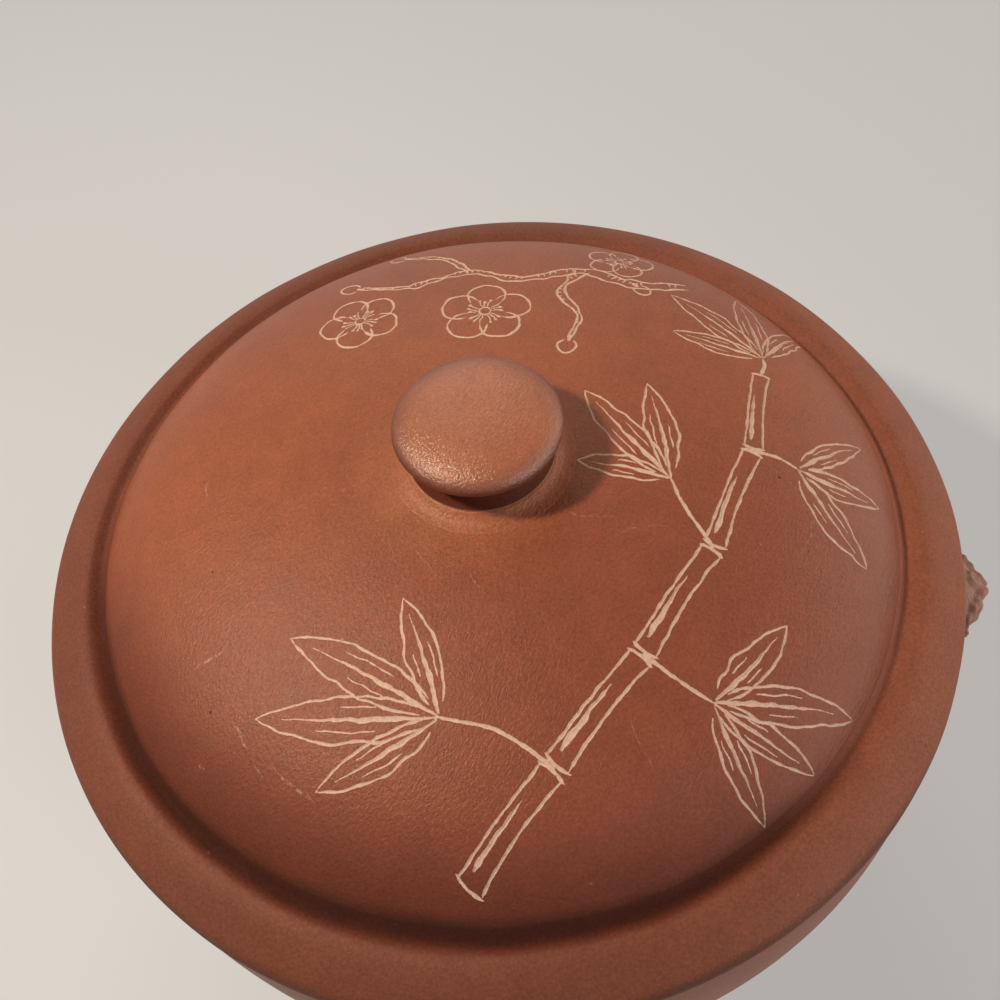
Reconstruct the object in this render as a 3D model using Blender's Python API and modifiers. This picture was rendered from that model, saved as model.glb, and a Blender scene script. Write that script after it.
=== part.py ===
"""Clay steam pot with its lid, as the separate pieces that a potter lutes together.

The pot stands on Z = 0 and its axis is Z. The two lugs lie along X.
All sizes are in metres.
"""

import math

import bmesh
import bpy
from mathutils import Matrix

# Fits between pieces
LUTED_GAP = 0.0003            # left between two pieces that are luted to each other
LID_SEAT_GAP = 0.0003         # between the lid's brim and the mouth that it rests on
FLANGE_CLEARANCE = 0.0012     # between the lid's flange and the mouth, all round

# Pot
BELLY_RADIUS = 0.1132         # widest part of the outside
BELLY_HEIGHT = 0.080          # height of that widest part
WALL = 0.0070
FLOOR_THICKNESS = 0.0070
FOOT_RADIUS = 0.0730          # outside of the foot ring where it meets the floor
FOOT_TAPER = 0.0018           # how much narrower the foot ring is at the table
FOOT_WIDTH = 0.0085
FOOT_HEIGHT = 0.0087
FOOT_EDGE_ROUND = 0.0012
BELLY_FOOT_STEP = 0.0020      # how far the belly starts outside the foot ring
BELLY_FULLNESS = 1.9          # 2 makes the lower belly an ellipse, and more makes it fuller
MOUTH_HEIGHT = 0.1060         # flat top of the mouth, where the lid rests
MOUTH_RING_DEPTH = 0.0090
MOUTH_DRAW_IN = 0.0034        # from the widest line in to the mouth's outside
MOUTH_WIDTH = 0.0128          # of the mouth's flat top, from outside to inside
MOUTH_EDGE_ROUND = 0.0016

# Steam chimney
CHIMNEY_TIP_DROP = 0.0080     # from the mouth down to the chimney's tip
CHIMNEY_TIP_RADIUS = 0.0120
CHIMNEY_ROOT_RADIUS = 0.0330
CHIMNEY_TIP_WALL = 0.0052
CHIMNEY_ROOT_WALL = 0.0060
CHIMNEY_FLARE = 2.6           # how fast the outside narrows above the floor
CHIMNEY_TIP_ROUND = 0.0018
BEAD_WIDTH = 0.0055
BEAD_HEIGHT = 0.0060

# Lid
LID_OVERHANG = 0.0022         # how far the brim stands out past the mouth
LID_EDGE_HEIGHT = 0.0038      # from the brim's underside up to its widest line
BRIM_RISE = 0.0087            # from that line up to the brim's inner lip
BRIM_WIDTH = 0.0124           # of the brim's sloping top, from its edge in to its lip
BRIM_BULGE = 0.0006           # how far the brim's sloping top stands proud of a straight line
BRIM_SHOULDER = 0.0030        # rounding between the brim's top and its widest line
BRIM_SHOULDER_DRAW = 0.0012   # how far in from the widest line that rounding ends
BRIM_UNDER_ROUND = 0.0018
BRIM_UNDER_DRAW = 0.0004      # how far in from the widest line the rounding under it starts
CREASE_WIDTH = 0.0020         # from the lip in to where the dome meets the brim
CREASE_DEPTH = 0.0022         # how far the crease lies below the lip
BRIM_SHELF_WIDTH = 0.0076     # of the ledge that carries the dome
BRIM_SHELF_THICKNESS = 0.0052
DOME_RISE = 0.0327            # crown of the dome above the brim's widest line
DOME_THICKNESS = 0.0062
DOME_SHOULDER = 1.75          # 1 makes the dome a plain cap, and more gives it a steeper foot
FLANGE_DEPTH = 0.0120
FLANGE_THICKNESS = 0.0055

# Knob
NECK_WAIST_RADIUS = 0.0132
NECK_FOOT_FLARE = 0.0034      # how far the neck's foot stands out past its waist
NECK_HEAD_FLARE = 0.0010      # how far the neck's top does
NECK_HEIGHT = 0.0064
NECK_FOOT_CURVE = 2.2         # 1 makes the foot's flare a cone, and more keeps it low
NECK_HEAD_CURVE = 4.0         # the same for the top's
PAD_WIDTH = 0.0046            # how far the pad shows round the neck's foot
PAD_THICKNESS = 0.0010
BUTTON_UNDERCUT = 0.0046      # how far the button stands out past the neck's top
BUTTON_UNDER_HEIGHT = 0.0024  # from the underside up to the button's widest line
BUTTON_CROWN_HEIGHT = 0.0050  # from that line up to the crown
BUTTON_SHOULDER = 2.25         # 2 makes the button's top an ellipse, and more makes it flatter

# Lugs
LUG_DROP = 0.0260             # from the mouth down to the middle of the beast's head
LUG_REACH = 0.0119            # half size of the head under its relief, outwards
LUG_HALF_WIDTH = 0.0122
LUG_HALF_HEIGHT = 0.0140
LUG_INSET = 0.0010            # how far the head's middle lies inside the belly's outside
FACE_ANGLE = 77.0             # from the middle of the face to its rim, in degrees
MANE_HEIGHT = 0.17            # of the mane's curls, as a share of the head's half size
MANE_STEEPNESS = 4.0          # of their sides, as in the relief below

# Facets
ROUND_STEPS = 56              # of the large turned pieces
SMALL_STEPS = 32              # of the chimney and the knob
HEAD_RINGS = 26
HEAD_SEGMENTS = 44
HEAD_BUNCHING = 1.4           # sets the head's rings closer on the face than at the back
BELLY_BUNCHING = 1.5          # sets the belly's rings closer at its foot
CHIMNEY_BUNCHING = 1.3        # sets the chimney's rings closer at its root
DOME_BUNCHING = 1.7           # sets the dome's rings closer at its foot
DOME_INSIDE_BUNCHING = 1.5

# Radii that follow from the sizes above
FOOT_BOTTOM_RADIUS = FOOT_RADIUS - FOOT_TAPER
BELLY_FOOT_RADIUS = FOOT_RADIUS + BELLY_FOOT_STEP
MOUTH_OUTER_RADIUS = BELLY_RADIUS - MOUTH_DRAW_IN
MOUTH_INNER_RADIUS = MOUTH_OUTER_RADIUS - MOUTH_WIDTH
CHIMNEY_OUTLET_RADIUS = CHIMNEY_TIP_RADIUS - CHIMNEY_TIP_WALL
CHIMNEY_INLET_RADIUS = CHIMNEY_ROOT_RADIUS - CHIMNEY_ROOT_WALL
LID_RADIUS = MOUTH_OUTER_RADIUS + LID_OVERHANG
BRIM_LIP_RADIUS = LID_RADIUS - BRIM_WIDTH
CREASE_RADIUS = BRIM_LIP_RADIUS - CREASE_WIDTH
BRIM_SHELF_RADIUS = CREASE_RADIUS - BRIM_SHELF_WIDTH
FLANGE_OUTER_RADIUS = MOUTH_INNER_RADIUS - FLANGE_CLEARANCE
NECK_BASE_RADIUS = NECK_WAIST_RADIUS + NECK_FOOT_FLARE
PAD_RADIUS = NECK_BASE_RADIUS + PAD_WIDTH
BUTTON_UNDERSIDE_RADIUS = NECK_WAIST_RADIUS + NECK_HEAD_FLARE
BUTTON_RADIUS = BUTTON_UNDERSIDE_RADIUS + BUTTON_UNDERCUT

# Heights that follow from them
FLOOR_BOTTOM = FOOT_HEIGHT + LUTED_GAP
FLOOR_TOP = FLOOR_BOTTOM + FLOOR_THICKNESS
MOUTH_RING_BOTTOM = MOUTH_HEIGHT - MOUTH_RING_DEPTH
CHIMNEY_TIP_HEIGHT = MOUTH_HEIGHT - CHIMNEY_TIP_DROP
LUG_HEIGHT = MOUTH_HEIGHT - LUG_DROP
BRIM_BOTTOM = MOUTH_HEIGHT + LID_SEAT_GAP
LID_EDGE = BRIM_BOTTOM + LID_EDGE_HEIGHT
BRIM_LIP = LID_EDGE + BRIM_RISE
BRIM_SHELF = BRIM_BOTTOM + BRIM_SHELF_THICKNESS
CREASE = BRIM_LIP - CREASE_DEPTH
DOME_CROWN = LID_EDGE + DOME_RISE
PAD_TOP = DOME_CROWN + LUTED_GAP + PAD_THICKNESS
NECK_BOTTOM = PAD_TOP + LUTED_GAP
NECK_TOP = NECK_BOTTOM + NECK_HEIGHT
BUTTON_BOTTOM = NECK_TOP + LUTED_GAP
BUTTON_WAIST = BUTTON_BOTTOM + BUTTON_UNDER_HEIGHT

# Relief of the beast's head, seen from the front: name, how far sideways and up from its middle,
# half width, half height, how far it stands out, and how steep its sides are, where 2 is a soft
# hill and more is flatter on top. All are shares: of the face's angle, and for how far it stands
# out, of the head's half sizes. A hollow's is negative. What lies to one side is made on both.
FACE_RELIEF = (
    ("bridge", 0.00, 0.18, 0.15, 0.22, 0.12, 3.0),
    ("nose", 0.00, -0.10, 0.20, 0.12, 0.22, 4.0),
    ("nostril", 0.21, -0.15, 0.10, 0.09, 0.13, 3.0),
    ("eye_socket", 0.35, 0.12, 0.19, 0.15, -0.08, 4.0),
    ("eye", 0.35, 0.13, 0.12, 0.10, 0.16, 3.5),
    ("brow", 0.16, 0.36, 0.12, 0.07, 0.14, 3.0),
    ("brow_arch", 0.36, 0.42, 0.14, 0.07, 0.15, 3.0),
    ("brow_end", 0.57, 0.34, 0.10, 0.10, 0.15, 3.0),
    ("crest", 0.00, 0.57, 0.11, 0.13, 0.12, 3.0),
    ("ear", 0.60, 0.68, 0.16, 0.17, 0.25, 3.0),
    ("cheek", 0.58, -0.10, 0.15, 0.15, 0.12, 3.0),
    ("muzzle", 0.22, -0.30, 0.21, 0.10, 0.18, 4.0),
    ("lip_corner", 0.51, -0.42, 0.09, 0.13, 0.12, 3.0),
    ("mouth", 0.00, -0.50, 0.38, 0.08, -0.18, 6.0),
    ("fang", 0.31, -0.48, 0.07, 0.10, 0.18, 3.0),
    ("jaw", 0.00, -0.64, 0.34, 0.07, 0.10, 4.0),
    ("chin", 0.00, -0.77, 0.20, 0.08, 0.09, 3.0),
)

# Curls of the mane round the face: how far sideways and up, and size, as shares of the face's angle
MANE_CURLS = (
    (0.00, 0.88, 0.18),
    (0.31, 0.84, 0.15),
    (0.88, 0.42, 0.18),
    (0.95, 0.05, 0.18),
    (0.88, -0.32, 0.18),
    (0.68, -0.64, 0.18),
    (0.37, -0.87, 0.18),
    (0.00, -0.95, 0.18),
)


def clear_scene():
    """Removes whatever the scene starts with."""
    for obj in list(bpy.data.objects):
        bpy.data.objects.remove(obj, do_unlink=True)


def new_collection(name, hidden=False):
    collection = bpy.data.collections.new(name)
    bpy.context.scene.collection.children.link(collection)
    collection.hide_render = hidden
    return collection


def clay(name, colour, roughness):
    """Unglazed stoneware: a dull dielectric."""
    material = bpy.data.materials.new(name)
    material.use_nodes = True
    shader = material.node_tree.nodes["Principled BSDF"]
    shader.inputs["Base Color"].default_value = (*colour, 1.0)
    shader.inputs["Roughness"].default_value = roughness
    shader.inputs["Metallic"].default_value = 0.0
    return material


def arc(centre, radii, start, end, count):
    """Points on an ellipse's arc in the profile plane, with both ends, at angles in degrees."""
    points = []
    for step in range(count):
        angle = math.radians(start + (end - start) * step / (count - 1))
        points.append((centre[0] + radii[0] * math.cos(angle), centre[1] + radii[1] * math.sin(angle)))
    return points


def spread(low, high, count, bunching=1.0):
    """Numbers from low to high with both ends; bunching over 1 sets them closer near high."""
    return [low + (high - low) * (1 - (1 - step / (count - 1)) ** bunching) for step in range(count)]


def turned(name, profile, closed, steps, material, collection):
    """A turned piece. The profile holds (radius, height) and runs down its outer side."""
    mesh = bpy.data.meshes.new(name)
    count = len(profile)
    edges = [(i, i + 1) for i in range(count - 1)]
    if closed:
        edges.append((count - 1, 0))
    mesh.from_pydata([(radius, 0.0, height) for radius, height in profile], edges, [])
    mesh.materials.append(material)
    obj = bpy.data.objects.new(name, mesh)
    collection.objects.link(obj)
    screw = obj.modifiers.new("Turn", "SCREW")
    screw.axis = "Z"
    screw.angle = math.tau
    screw.steps = steps
    screw.render_steps = steps
    screw.use_merge_vertices = True
    screw.merge_threshold = 0.00001
    screw.use_smooth_shade = True
    return obj


def belly_radius(height):
    """Outside of the pot: a full curve below the widest line and a slight one above it."""
    if height < BELLY_HEIGHT:
        share = (BELLY_HEIGHT - height) / (BELLY_HEIGHT - FLOOR_BOTTOM)
        swell = max(0.0, 1 - share ** BELLY_FULLNESS) ** (1 / BELLY_FULLNESS)
        return BELLY_FOOT_RADIUS + (BELLY_RADIUS - BELLY_FOOT_RADIUS) * swell
    share = (height - BELLY_HEIGHT) / (MOUTH_HEIGHT - BELLY_HEIGHT)
    return BELLY_RADIUS - (BELLY_RADIUS - MOUTH_OUTER_RADIUS) * share ** 2


def chimney_radius(height):
    """Outside of the chimney: a trumpet that widens towards the floor."""
    share = (CHIMNEY_TIP_HEIGHT - height) / (CHIMNEY_TIP_HEIGHT - FLOOR_TOP)
    return CHIMNEY_TIP_RADIUS + (CHIMNEY_ROOT_RADIUS - CHIMNEY_TIP_RADIUS) * share ** CHIMNEY_FLARE


def bore_radius(height):
    """Inside of the chimney: the same trumpet, from the inlet below to the outlet at the tip."""
    share = (CHIMNEY_TIP_HEIGHT - height) / (CHIMNEY_TIP_HEIGHT - FLOOR_BOTTOM)
    return CHIMNEY_OUTLET_RADIUS + (CHIMNEY_INLET_RADIUS - CHIMNEY_OUTLET_RADIUS) * share ** CHIMNEY_FLARE


def dome_height(radius):
    """Outside of the dome: a low cap whose foot steepens down to the crease."""
    share = min(1.0, radius / (CREASE_RADIUS - LUTED_GAP))
    return CREASE + (DOME_CROWN - CREASE) * (1 - share ** 2) ** (1 / DOME_SHOULDER)


def make_foot_ring(material, collection):
    inner = FOOT_BOTTOM_RADIUS - FOOT_WIDTH
    top_inner = FOOT_RADIUS - FOOT_WIDTH
    edge = FOOT_EDGE_ROUND
    profile = [(FOOT_RADIUS, FOOT_HEIGHT)]
    profile += arc((FOOT_BOTTOM_RADIUS - edge, edge), (edge, edge), 0, -90, 3)
    profile += arc((inner + edge, edge), (edge, edge), -90, -180, 3)
    profile += [(top_inner, FOOT_HEIGHT)]
    return turned("foot_ring", profile, True, ROUND_STEPS, material, collection)


def make_pot_floor(material, collection):
    """The disc that closes the belly, with the hole that the chimney's root stands in."""
    hole = CHIMNEY_ROOT_RADIUS + LUTED_GAP
    profile = [(belly_radius(z), z) for z in spread(FLOOR_TOP, FLOOR_BOTTOM, 4, BELLY_BUNCHING)]
    profile += [(hole, FLOOR_BOTTOM), (hole, FLOOR_TOP)]
    return turned("pot_floor", profile, True, ROUND_STEPS, material, collection)


def make_pot_wall(material, collection):
    low = FLOOR_TOP + LUTED_GAP
    high = MOUTH_RING_BOTTOM - LUTED_GAP
    outer = [(belly_radius(z), z) for z in spread(high, low, 9, BELLY_BUNCHING)]
    inner = [(radius - WALL, z) for radius, z in reversed(outer)]
    return turned("pot_wall", outer + inner, True, ROUND_STEPS, material, collection)


def make_mouth_ring(material, collection):
    """The thick lip with the flat top that carries the lid."""
    edge = MOUTH_EDGE_ROUND
    low, high = MOUTH_RING_BOTTOM, MOUTH_HEIGHT
    profile = arc((belly_radius(high) - edge, high - edge), (edge, edge), 90, 0, 3)
    profile += [(belly_radius(low), low)]
    profile += [(belly_radius(low) - WALL, low)]
    profile += [(MOUTH_INNER_RADIUS, low + WALL / 2)]
    profile += arc((MOUTH_INNER_RADIUS + edge, high - edge), (edge, edge), 180, 90, 3)
    return turned("mouth_ring", profile, True, ROUND_STEPS, material, collection)


def make_chimney(material, collection):
    """The hollow cone that leads the steam up from below the floor."""
    tip, edge = CHIMNEY_TIP_HEIGHT, CHIMNEY_TIP_ROUND
    profile = arc((CHIMNEY_TIP_RADIUS - edge, tip - edge), (edge, edge), 90, 0, 3)
    profile += [(chimney_radius(z), z) for z in spread(tip, FLOOR_TOP, 8, CHIMNEY_BUNCHING)[1:]]
    profile += [(CHIMNEY_ROOT_RADIUS, FLOOR_BOTTOM)]
    profile += [(bore_radius(z), z) for z in reversed(spread(tip, FLOOR_BOTTOM, 7, CHIMNEY_BUNCHING))]
    return turned("chimney", profile, True, SMALL_STEPS, material, collection)


def make_chimney_bead(material, collection):
    """The coil of clay that seals the chimney's root to the floor inside the pot."""
    low = FLOOR_TOP + LUTED_GAP
    root = chimney_radius(low) + LUTED_GAP
    against = [(chimney_radius(z) + 2 * LUTED_GAP, z) for z in spread(low, low + BEAD_HEIGHT, 4)]
    cove = arc((root + BEAD_WIDTH, low + BEAD_HEIGHT), (BEAD_WIDTH, BEAD_HEIGHT), 195, 262, 4)
    profile = cove + [(root + BEAD_WIDTH, low)]
    return turned("chimney_bead", profile + against, True, SMALL_STEPS, material, collection)


def make_lid_brim(material, collection):
    """The broad ring round the dome: a sloping top, a rounded edge and a ledge for the dome."""
    lip_end = (BRIM_LIP_RADIUS, BRIM_LIP)
    shoulder_end = (LID_RADIUS - BRIM_SHOULDER_DRAW, LID_EDGE + BRIM_SHOULDER)
    slope = []
    for share in spread(0.0, 1.0, 5):
        bulge = BRIM_BULGE * 4 * share * (1 - share)
        radius = lip_end[0] + (shoulder_end[0] - lip_end[0]) * share
        slope.append((radius, lip_end[1] + (shoulder_end[1] - lip_end[1]) * share + bulge))
    under = BRIM_UNDER_ROUND
    under_middle = (LID_RADIUS - BRIM_UNDER_DRAW - under, BRIM_BOTTOM + under)
    profile = [(CREASE_RADIUS, CREASE)] + slope
    profile += [(LID_RADIUS, LID_EDGE)]
    profile += arc(under_middle, (under, under), -15, -90, 3)
    profile += [(BRIM_SHELF_RADIUS, BRIM_BOTTOM), (BRIM_SHELF_RADIUS, BRIM_SHELF)]
    profile += [(CREASE_RADIUS, BRIM_SHELF)]
    return turned("lid_brim", profile, True, ROUND_STEPS, material, collection)


def make_lid_dome(material, collection):
    """The cap of the lid, which stands on the brim's ledge."""
    foot_outer = CREASE_RADIUS - LUTED_GAP
    foot_inner = BRIM_SHELF_RADIUS + LUTED_GAP
    foot = BRIM_SHELF + LUTED_GAP
    outer = [(r, dome_height(r)) for r in spread(0.0, foot_outer, 12, DOME_BUNCHING)]
    inner = []
    for r in spread(0.0, foot_inner, 7, DOME_INSIDE_BUNCHING):
        share = r / foot_inner
        cap = (DOME_CROWN - DOME_THICKNESS - foot) * (1 - share ** 2) ** (1 / DOME_SHOULDER)
        inner.append((r, foot + cap))
    profile = outer + [(foot_outer, foot)] + inner[::-1]
    return turned("lid_dome", profile, False, ROUND_STEPS, material, collection)


def make_lid_flange(material, collection):
    """The ring under the brim that keeps the lid centred in the mouth."""
    high = BRIM_BOTTOM - LUTED_GAP
    low = high - FLANGE_DEPTH
    outer, inner = FLANGE_OUTER_RADIUS, FLANGE_OUTER_RADIUS - FLANGE_THICKNESS
    edge = FLANGE_THICKNESS / 4
    profile = [(outer, high), (outer, low + edge), (outer - edge, low)]
    profile += [(inner + edge, low), (inner, low + edge), (inner, high)]
    return turned("lid_flange", profile, True, ROUND_STEPS, material, collection)


def make_knob_pad(material, collection):
    """The thin disc of clay that the knob is luted on."""
    profile = [(0.0, PAD_TOP), (PAD_RADIUS - PAD_THICKNESS, PAD_TOP)]
    profile += [(PAD_RADIUS, dome_height(PAD_RADIUS) + LUTED_GAP + PAD_THICKNESS / 3)]
    profile += [(r, dome_height(r) + LUTED_GAP) for r in spread(PAD_RADIUS, 0.0, 3)]
    return turned("knob_pad", profile, False, SMALL_STEPS, material, collection)


def make_knob_neck(material, collection):
    """The short thick stem, which narrows to a waist under the button."""
    profile = [(0.0, NECK_TOP)]
    for share in spread(0.0, 1.0, 7):
        foot = NECK_FOOT_FLARE * share ** NECK_FOOT_CURVE
        head = NECK_HEAD_FLARE * (1 - share) ** NECK_HEAD_CURVE
        profile.append((NECK_WAIST_RADIUS + foot + head, NECK_TOP - NECK_HEIGHT * share))
    profile.append((0.0, NECK_BOTTOM))
    return turned("knob_neck", profile, False, SMALL_STEPS, material, collection)


def make_knob_button(material, collection):
    """The flattened button: a low crown, a rounded edge and an undercut."""
    power = 2 / BUTTON_SHOULDER
    profile = [(0.0, BUTTON_WAIST + BUTTON_CROWN_HEIGHT)]
    for angle in spread(90.0, 0.0, 9)[1:]:
        across = math.cos(math.radians(angle)) ** power
        up = math.sin(math.radians(angle)) ** power
        profile.append((BUTTON_RADIUS * across, BUTTON_WAIST + BUTTON_CROWN_HEIGHT * up))
    under = (BUTTON_UNDERCUT, BUTTON_UNDER_HEIGHT)
    profile += arc((BUTTON_UNDERSIDE_RADIUS, BUTTON_WAIST), under, 0, -90, 4)[1:]
    profile.append((0.0, BUTTON_BOTTOM))
    return turned("knob_button", profile, False, SMALL_STEPS, material, collection)


def hill(across, up, steepness):
    """A round hill of height 1: it falls off with a power of the distance from its middle."""
    return math.exp(-math.hypot(across, up) ** steepness)


def head_swell(sideways, up):
    """How far the head stands out at a place of the face, as a share of its half size."""
    sideways = abs(sideways)
    swell = 1.0
    for _, middle, height, half_width, half_height, rise, steepness in FACE_RELIEF:
        swell += rise * hill((sideways - middle) / half_width, (up - height) / half_height, steepness)
    for middle, height, size in MANE_CURLS:
        curl = hill((sideways - middle) / size, (up - height) / size, MANE_STEEPNESS)
        swell += MANE_HEIGHT * curl
    return swell


def make_lug(name, side, belly_cutter, material, collection):
    """A beast's head that looks outwards, cut to the belly's curve at its back.

    It is a ball of rings round the way it looks, and each point moves out by the relief that lies
    at its angle from that way.
    """
    mesh = bpy.data.meshes.new(name)
    shape = bmesh.new()
    bmesh.ops.create_uvsphere(shape, u_segments=HEAD_SEGMENTS, v_segments=HEAD_RINGS, radius=1.0)
    for vertex in shape.verts:
        polar = math.acos(max(-1.0, min(1.0, vertex.co.z)))
        polar = math.pi * (polar / math.pi) ** HEAD_BUNCHING
        round_x = math.atan2(vertex.co.y, vertex.co.x)
        from_middle = polar / math.radians(FACE_ANGLE)
        swell = head_swell(from_middle * math.cos(round_x), from_middle * math.sin(round_x))
        vertex.co = (
            math.cos(polar) * swell * LUG_REACH,
            math.sin(polar) * math.cos(round_x) * swell * LUG_HALF_WIDTH,
            math.sin(polar) * math.sin(round_x) * swell * LUG_HALF_HEIGHT,
        )
    shape.to_mesh(mesh)
    shape.free()
    mesh.materials.append(material)
    mesh.shade_smooth()
    obj = bpy.data.objects.new(name, mesh)
    collection.objects.link(obj)
    turn = Matrix.Rotation(0.0 if side > 0 else math.pi, 4, "Z")
    middle = belly_radius(LUG_HEIGHT) - LUG_INSET
    obj.matrix_world = turn @ Matrix.Translation((middle, 0.0, LUG_HEIGHT))
    cut = obj.modifiers.new("Belly curve", "BOOLEAN")
    cut.operation = "DIFFERENCE"
    cut.solver = "EXACT"
    cut.object = belly_cutter
    return obj


def make_belly_cutter(collection):
    """The belly's outside grown by the luted gap, to cut the backs of the lugs."""
    heights = spread(MOUTH_HEIGHT, FLOOR_BOTTOM, 14)
    profile = [(0.0, MOUTH_HEIGHT)] + [(belly_radius(z) + LUTED_GAP, z) for z in heights]
    profile.append((0.0, FLOOR_BOTTOM))
    cutter = turned("belly_cutter", profile, False, ROUND_STEPS, None, collection)
    cutter.hide_render = True
    cutter.display_type = "WIRE"
    return cutter


def main():
    clear_scene()
    pot = new_collection("clay_steam_pot")
    cutters = new_collection("cutters", hidden=True)
    wall_clay = clay("wall_clay", (0.270, 0.095, 0.052), 0.62)
    inner_clay = clay("inner_clay", (0.300, 0.115, 0.065), 0.75)
    foot_clay = clay("foot_clay", (0.300, 0.120, 0.070), 0.80)
    lug_clay = clay("lug_clay", (0.260, 0.120, 0.075), 0.68)
    lid_clay = clay("lid_clay", (0.310, 0.105, 0.055), 0.52)
    knob_clay = clay("knob_clay", (0.350, 0.125, 0.068), 0.48)

    make_foot_ring(foot_clay, pot)
    make_pot_floor(inner_clay, pot)
    make_pot_wall(wall_clay, pot)
    make_mouth_ring(wall_clay, pot)
    make_chimney(inner_clay, pot)
    make_chimney_bead(inner_clay, pot)
    belly_cutter = make_belly_cutter(cutters)
    make_lug("lug_right", 1, belly_cutter, lug_clay, pot)
    make_lug("lug_left", -1, belly_cutter, lug_clay, pot)

    make_lid_brim(lid_clay, pot)
    make_lid_dome(lid_clay, pot)
    make_lid_flange(lid_clay, pot)
    make_knob_pad(lid_clay, pot)
    make_knob_neck(knob_clay, pot)
    make_knob_button(knob_clay, pot)


main()
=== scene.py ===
"""Looks of a clay steam pot: fine turned surfaces, an incised drawing and burnished clay.

The pot and its lid are turned shapes, so most pieces are an outline carried round the axis. The dome
is laid out flat, cut with the drawing and then raised. Lengths are in metres.
"""

import math

import bpy
import numpy as np
from mathutils import Matrix, Vector
from mathutils.geometry import delaunay_2d_cdt


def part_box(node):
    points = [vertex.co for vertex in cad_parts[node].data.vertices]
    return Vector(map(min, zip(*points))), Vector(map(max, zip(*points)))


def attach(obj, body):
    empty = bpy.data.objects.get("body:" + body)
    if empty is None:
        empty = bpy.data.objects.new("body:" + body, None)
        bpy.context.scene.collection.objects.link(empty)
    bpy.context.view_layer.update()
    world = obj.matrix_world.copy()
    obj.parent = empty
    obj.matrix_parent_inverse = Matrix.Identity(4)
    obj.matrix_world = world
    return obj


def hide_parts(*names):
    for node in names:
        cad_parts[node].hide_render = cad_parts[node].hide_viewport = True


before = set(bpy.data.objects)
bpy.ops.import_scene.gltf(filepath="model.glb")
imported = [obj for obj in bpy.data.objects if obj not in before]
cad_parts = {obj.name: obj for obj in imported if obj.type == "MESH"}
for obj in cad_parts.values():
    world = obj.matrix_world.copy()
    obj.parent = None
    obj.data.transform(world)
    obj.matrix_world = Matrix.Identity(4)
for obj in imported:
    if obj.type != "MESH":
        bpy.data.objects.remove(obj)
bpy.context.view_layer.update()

MM = 0.001


def radius_of(node):
    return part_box(node)[1].y


def bottom_of(node):
    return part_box(node)[0].z


def top_of(node):
    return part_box(node)[1].z


# Half of the gap that the solids leave between two luted pieces, closed here by the slip
HALF_GAP = 0.15 * MM

# Lid, from the parts of model.glb and from how such lids are shaped
LID_RADIUS = radius_of("lid_brim")
BRIM_BOTTOM = bottom_of("lid_brim")
BRIM_LIP = top_of("lid_brim")
LID_EDGE = BRIM_BOTTOM + 3.8 * MM
BRIM_LIP_RADIUS = LID_RADIUS - 12.4 * MM
BRIM_BULGE = 0.6 * MM
BRIM_SHOULDER = 3.0 * MM
CREASE_RADIUS = radius_of("lid_dome") + 0.3 * MM
CREASE_DEPTH = 4.4 * MM
CREASE = BRIM_LIP - CREASE_DEPTH
VALLEY_SOFTNESS = 2.9 * MM
VALLEY_REACH = 9.0 * MM
SLIP_WIDTH = 2.3 * MM
DOME_CROWN = top_of("lid_dome")
DOME_SEAT = bottom_of("lid_dome") - 2 * HALF_GAP
DOME_THICKNESS = 6.2 * MM
DOME_SHOULDER = 1.75
SHELF_RADIUS = CREASE_RADIUS - 7.6 * MM
FLANGE_RADIUS = radius_of("lid_flange")
FLANGE_BOTTOM = bottom_of("lid_flange")
FLANGE_THICKNESS = 5.5 * MM

# Knob
PAD_RADIUS = radius_of("knob_pad")
PAD_TOP = top_of("knob_pad") + HALF_GAP
NECK_BASE_RADIUS = radius_of("knob_neck")
NECK_TOP = top_of("knob_neck") + HALF_GAP
NECK_WAIST_RADIUS = 13.2 * MM
BUTTON_RADIUS = radius_of("knob_button")
BUTTON_BOTTOM = NECK_TOP
BUTTON_CROWN = top_of("knob_button")
BUTTON_UNDERSIDE_RADIUS = BUTTON_RADIUS - 4.6 * MM
BUTTON_UNDER_HEIGHT = 2.4 * MM
BUTTON_SHOULDER = 2.25

# Pot
BELLY_RADIUS = radius_of("pot_wall")
BELLY_HEIGHT = 80.0 * MM
BELLY_FULLNESS = 1.9
MOUTH_HEIGHT = top_of("mouth_ring")
MOUTH_SEAM = bottom_of("mouth_ring") - HALF_GAP
MOUTH_OUTER_RADIUS = LID_RADIUS - 2.2 * MM
MOUTH_INNER_RADIUS = FLANGE_RADIUS + 1.2 * MM
WALL = 7.0 * MM
FLOOR_BOTTOM = bottom_of("pot_floor")
FLOOR_TOP = top_of("pot_floor")
FLOOR_SEAM = FLOOR_TOP + HALF_GAP
BELLY_FOOT_RADIUS = radius_of("foot_ring") + 2.0 * MM
FOOT_RADIUS = radius_of("foot_ring")
FOOT_WIDTH = 8.5 * MM
FOOT_TAPER = 1.8 * MM
CHIMNEY_TIP = top_of("chimney")
CHIMNEY_ROOT_RADIUS = radius_of("chimney")
CHIMNEY_TIP_RADIUS = 12.0 * MM
OUTLET_RADIUS = 6.8 * MM
INLET_RADIUS = 27.0 * MM
CHIMNEY_FLARE = 2.6
BEAD_WIDTH = radius_of("chimney_bead") - CHIMNEY_ROOT_RADIUS
BEAD_TOP = top_of("chimney_bead")

# Lugs: half sizes of the head that the relief is laid on, outwards, sideways and up, and the angle
# from the middle of its face to the rim of the face
LUG_MIDDLE = MOUTH_HEIGHT - 26.0 * MM
LUG_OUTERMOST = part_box("lug_right")[1].x
LUG_HALF = (12.8 * MM, 14.4 * MM, 15.0 * MM)
LUG_BACK = 2.6 * MM
HEAD_FACE = 77
LUG_SEAT = BELLY_RADIUS - 1.0 * MM

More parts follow.
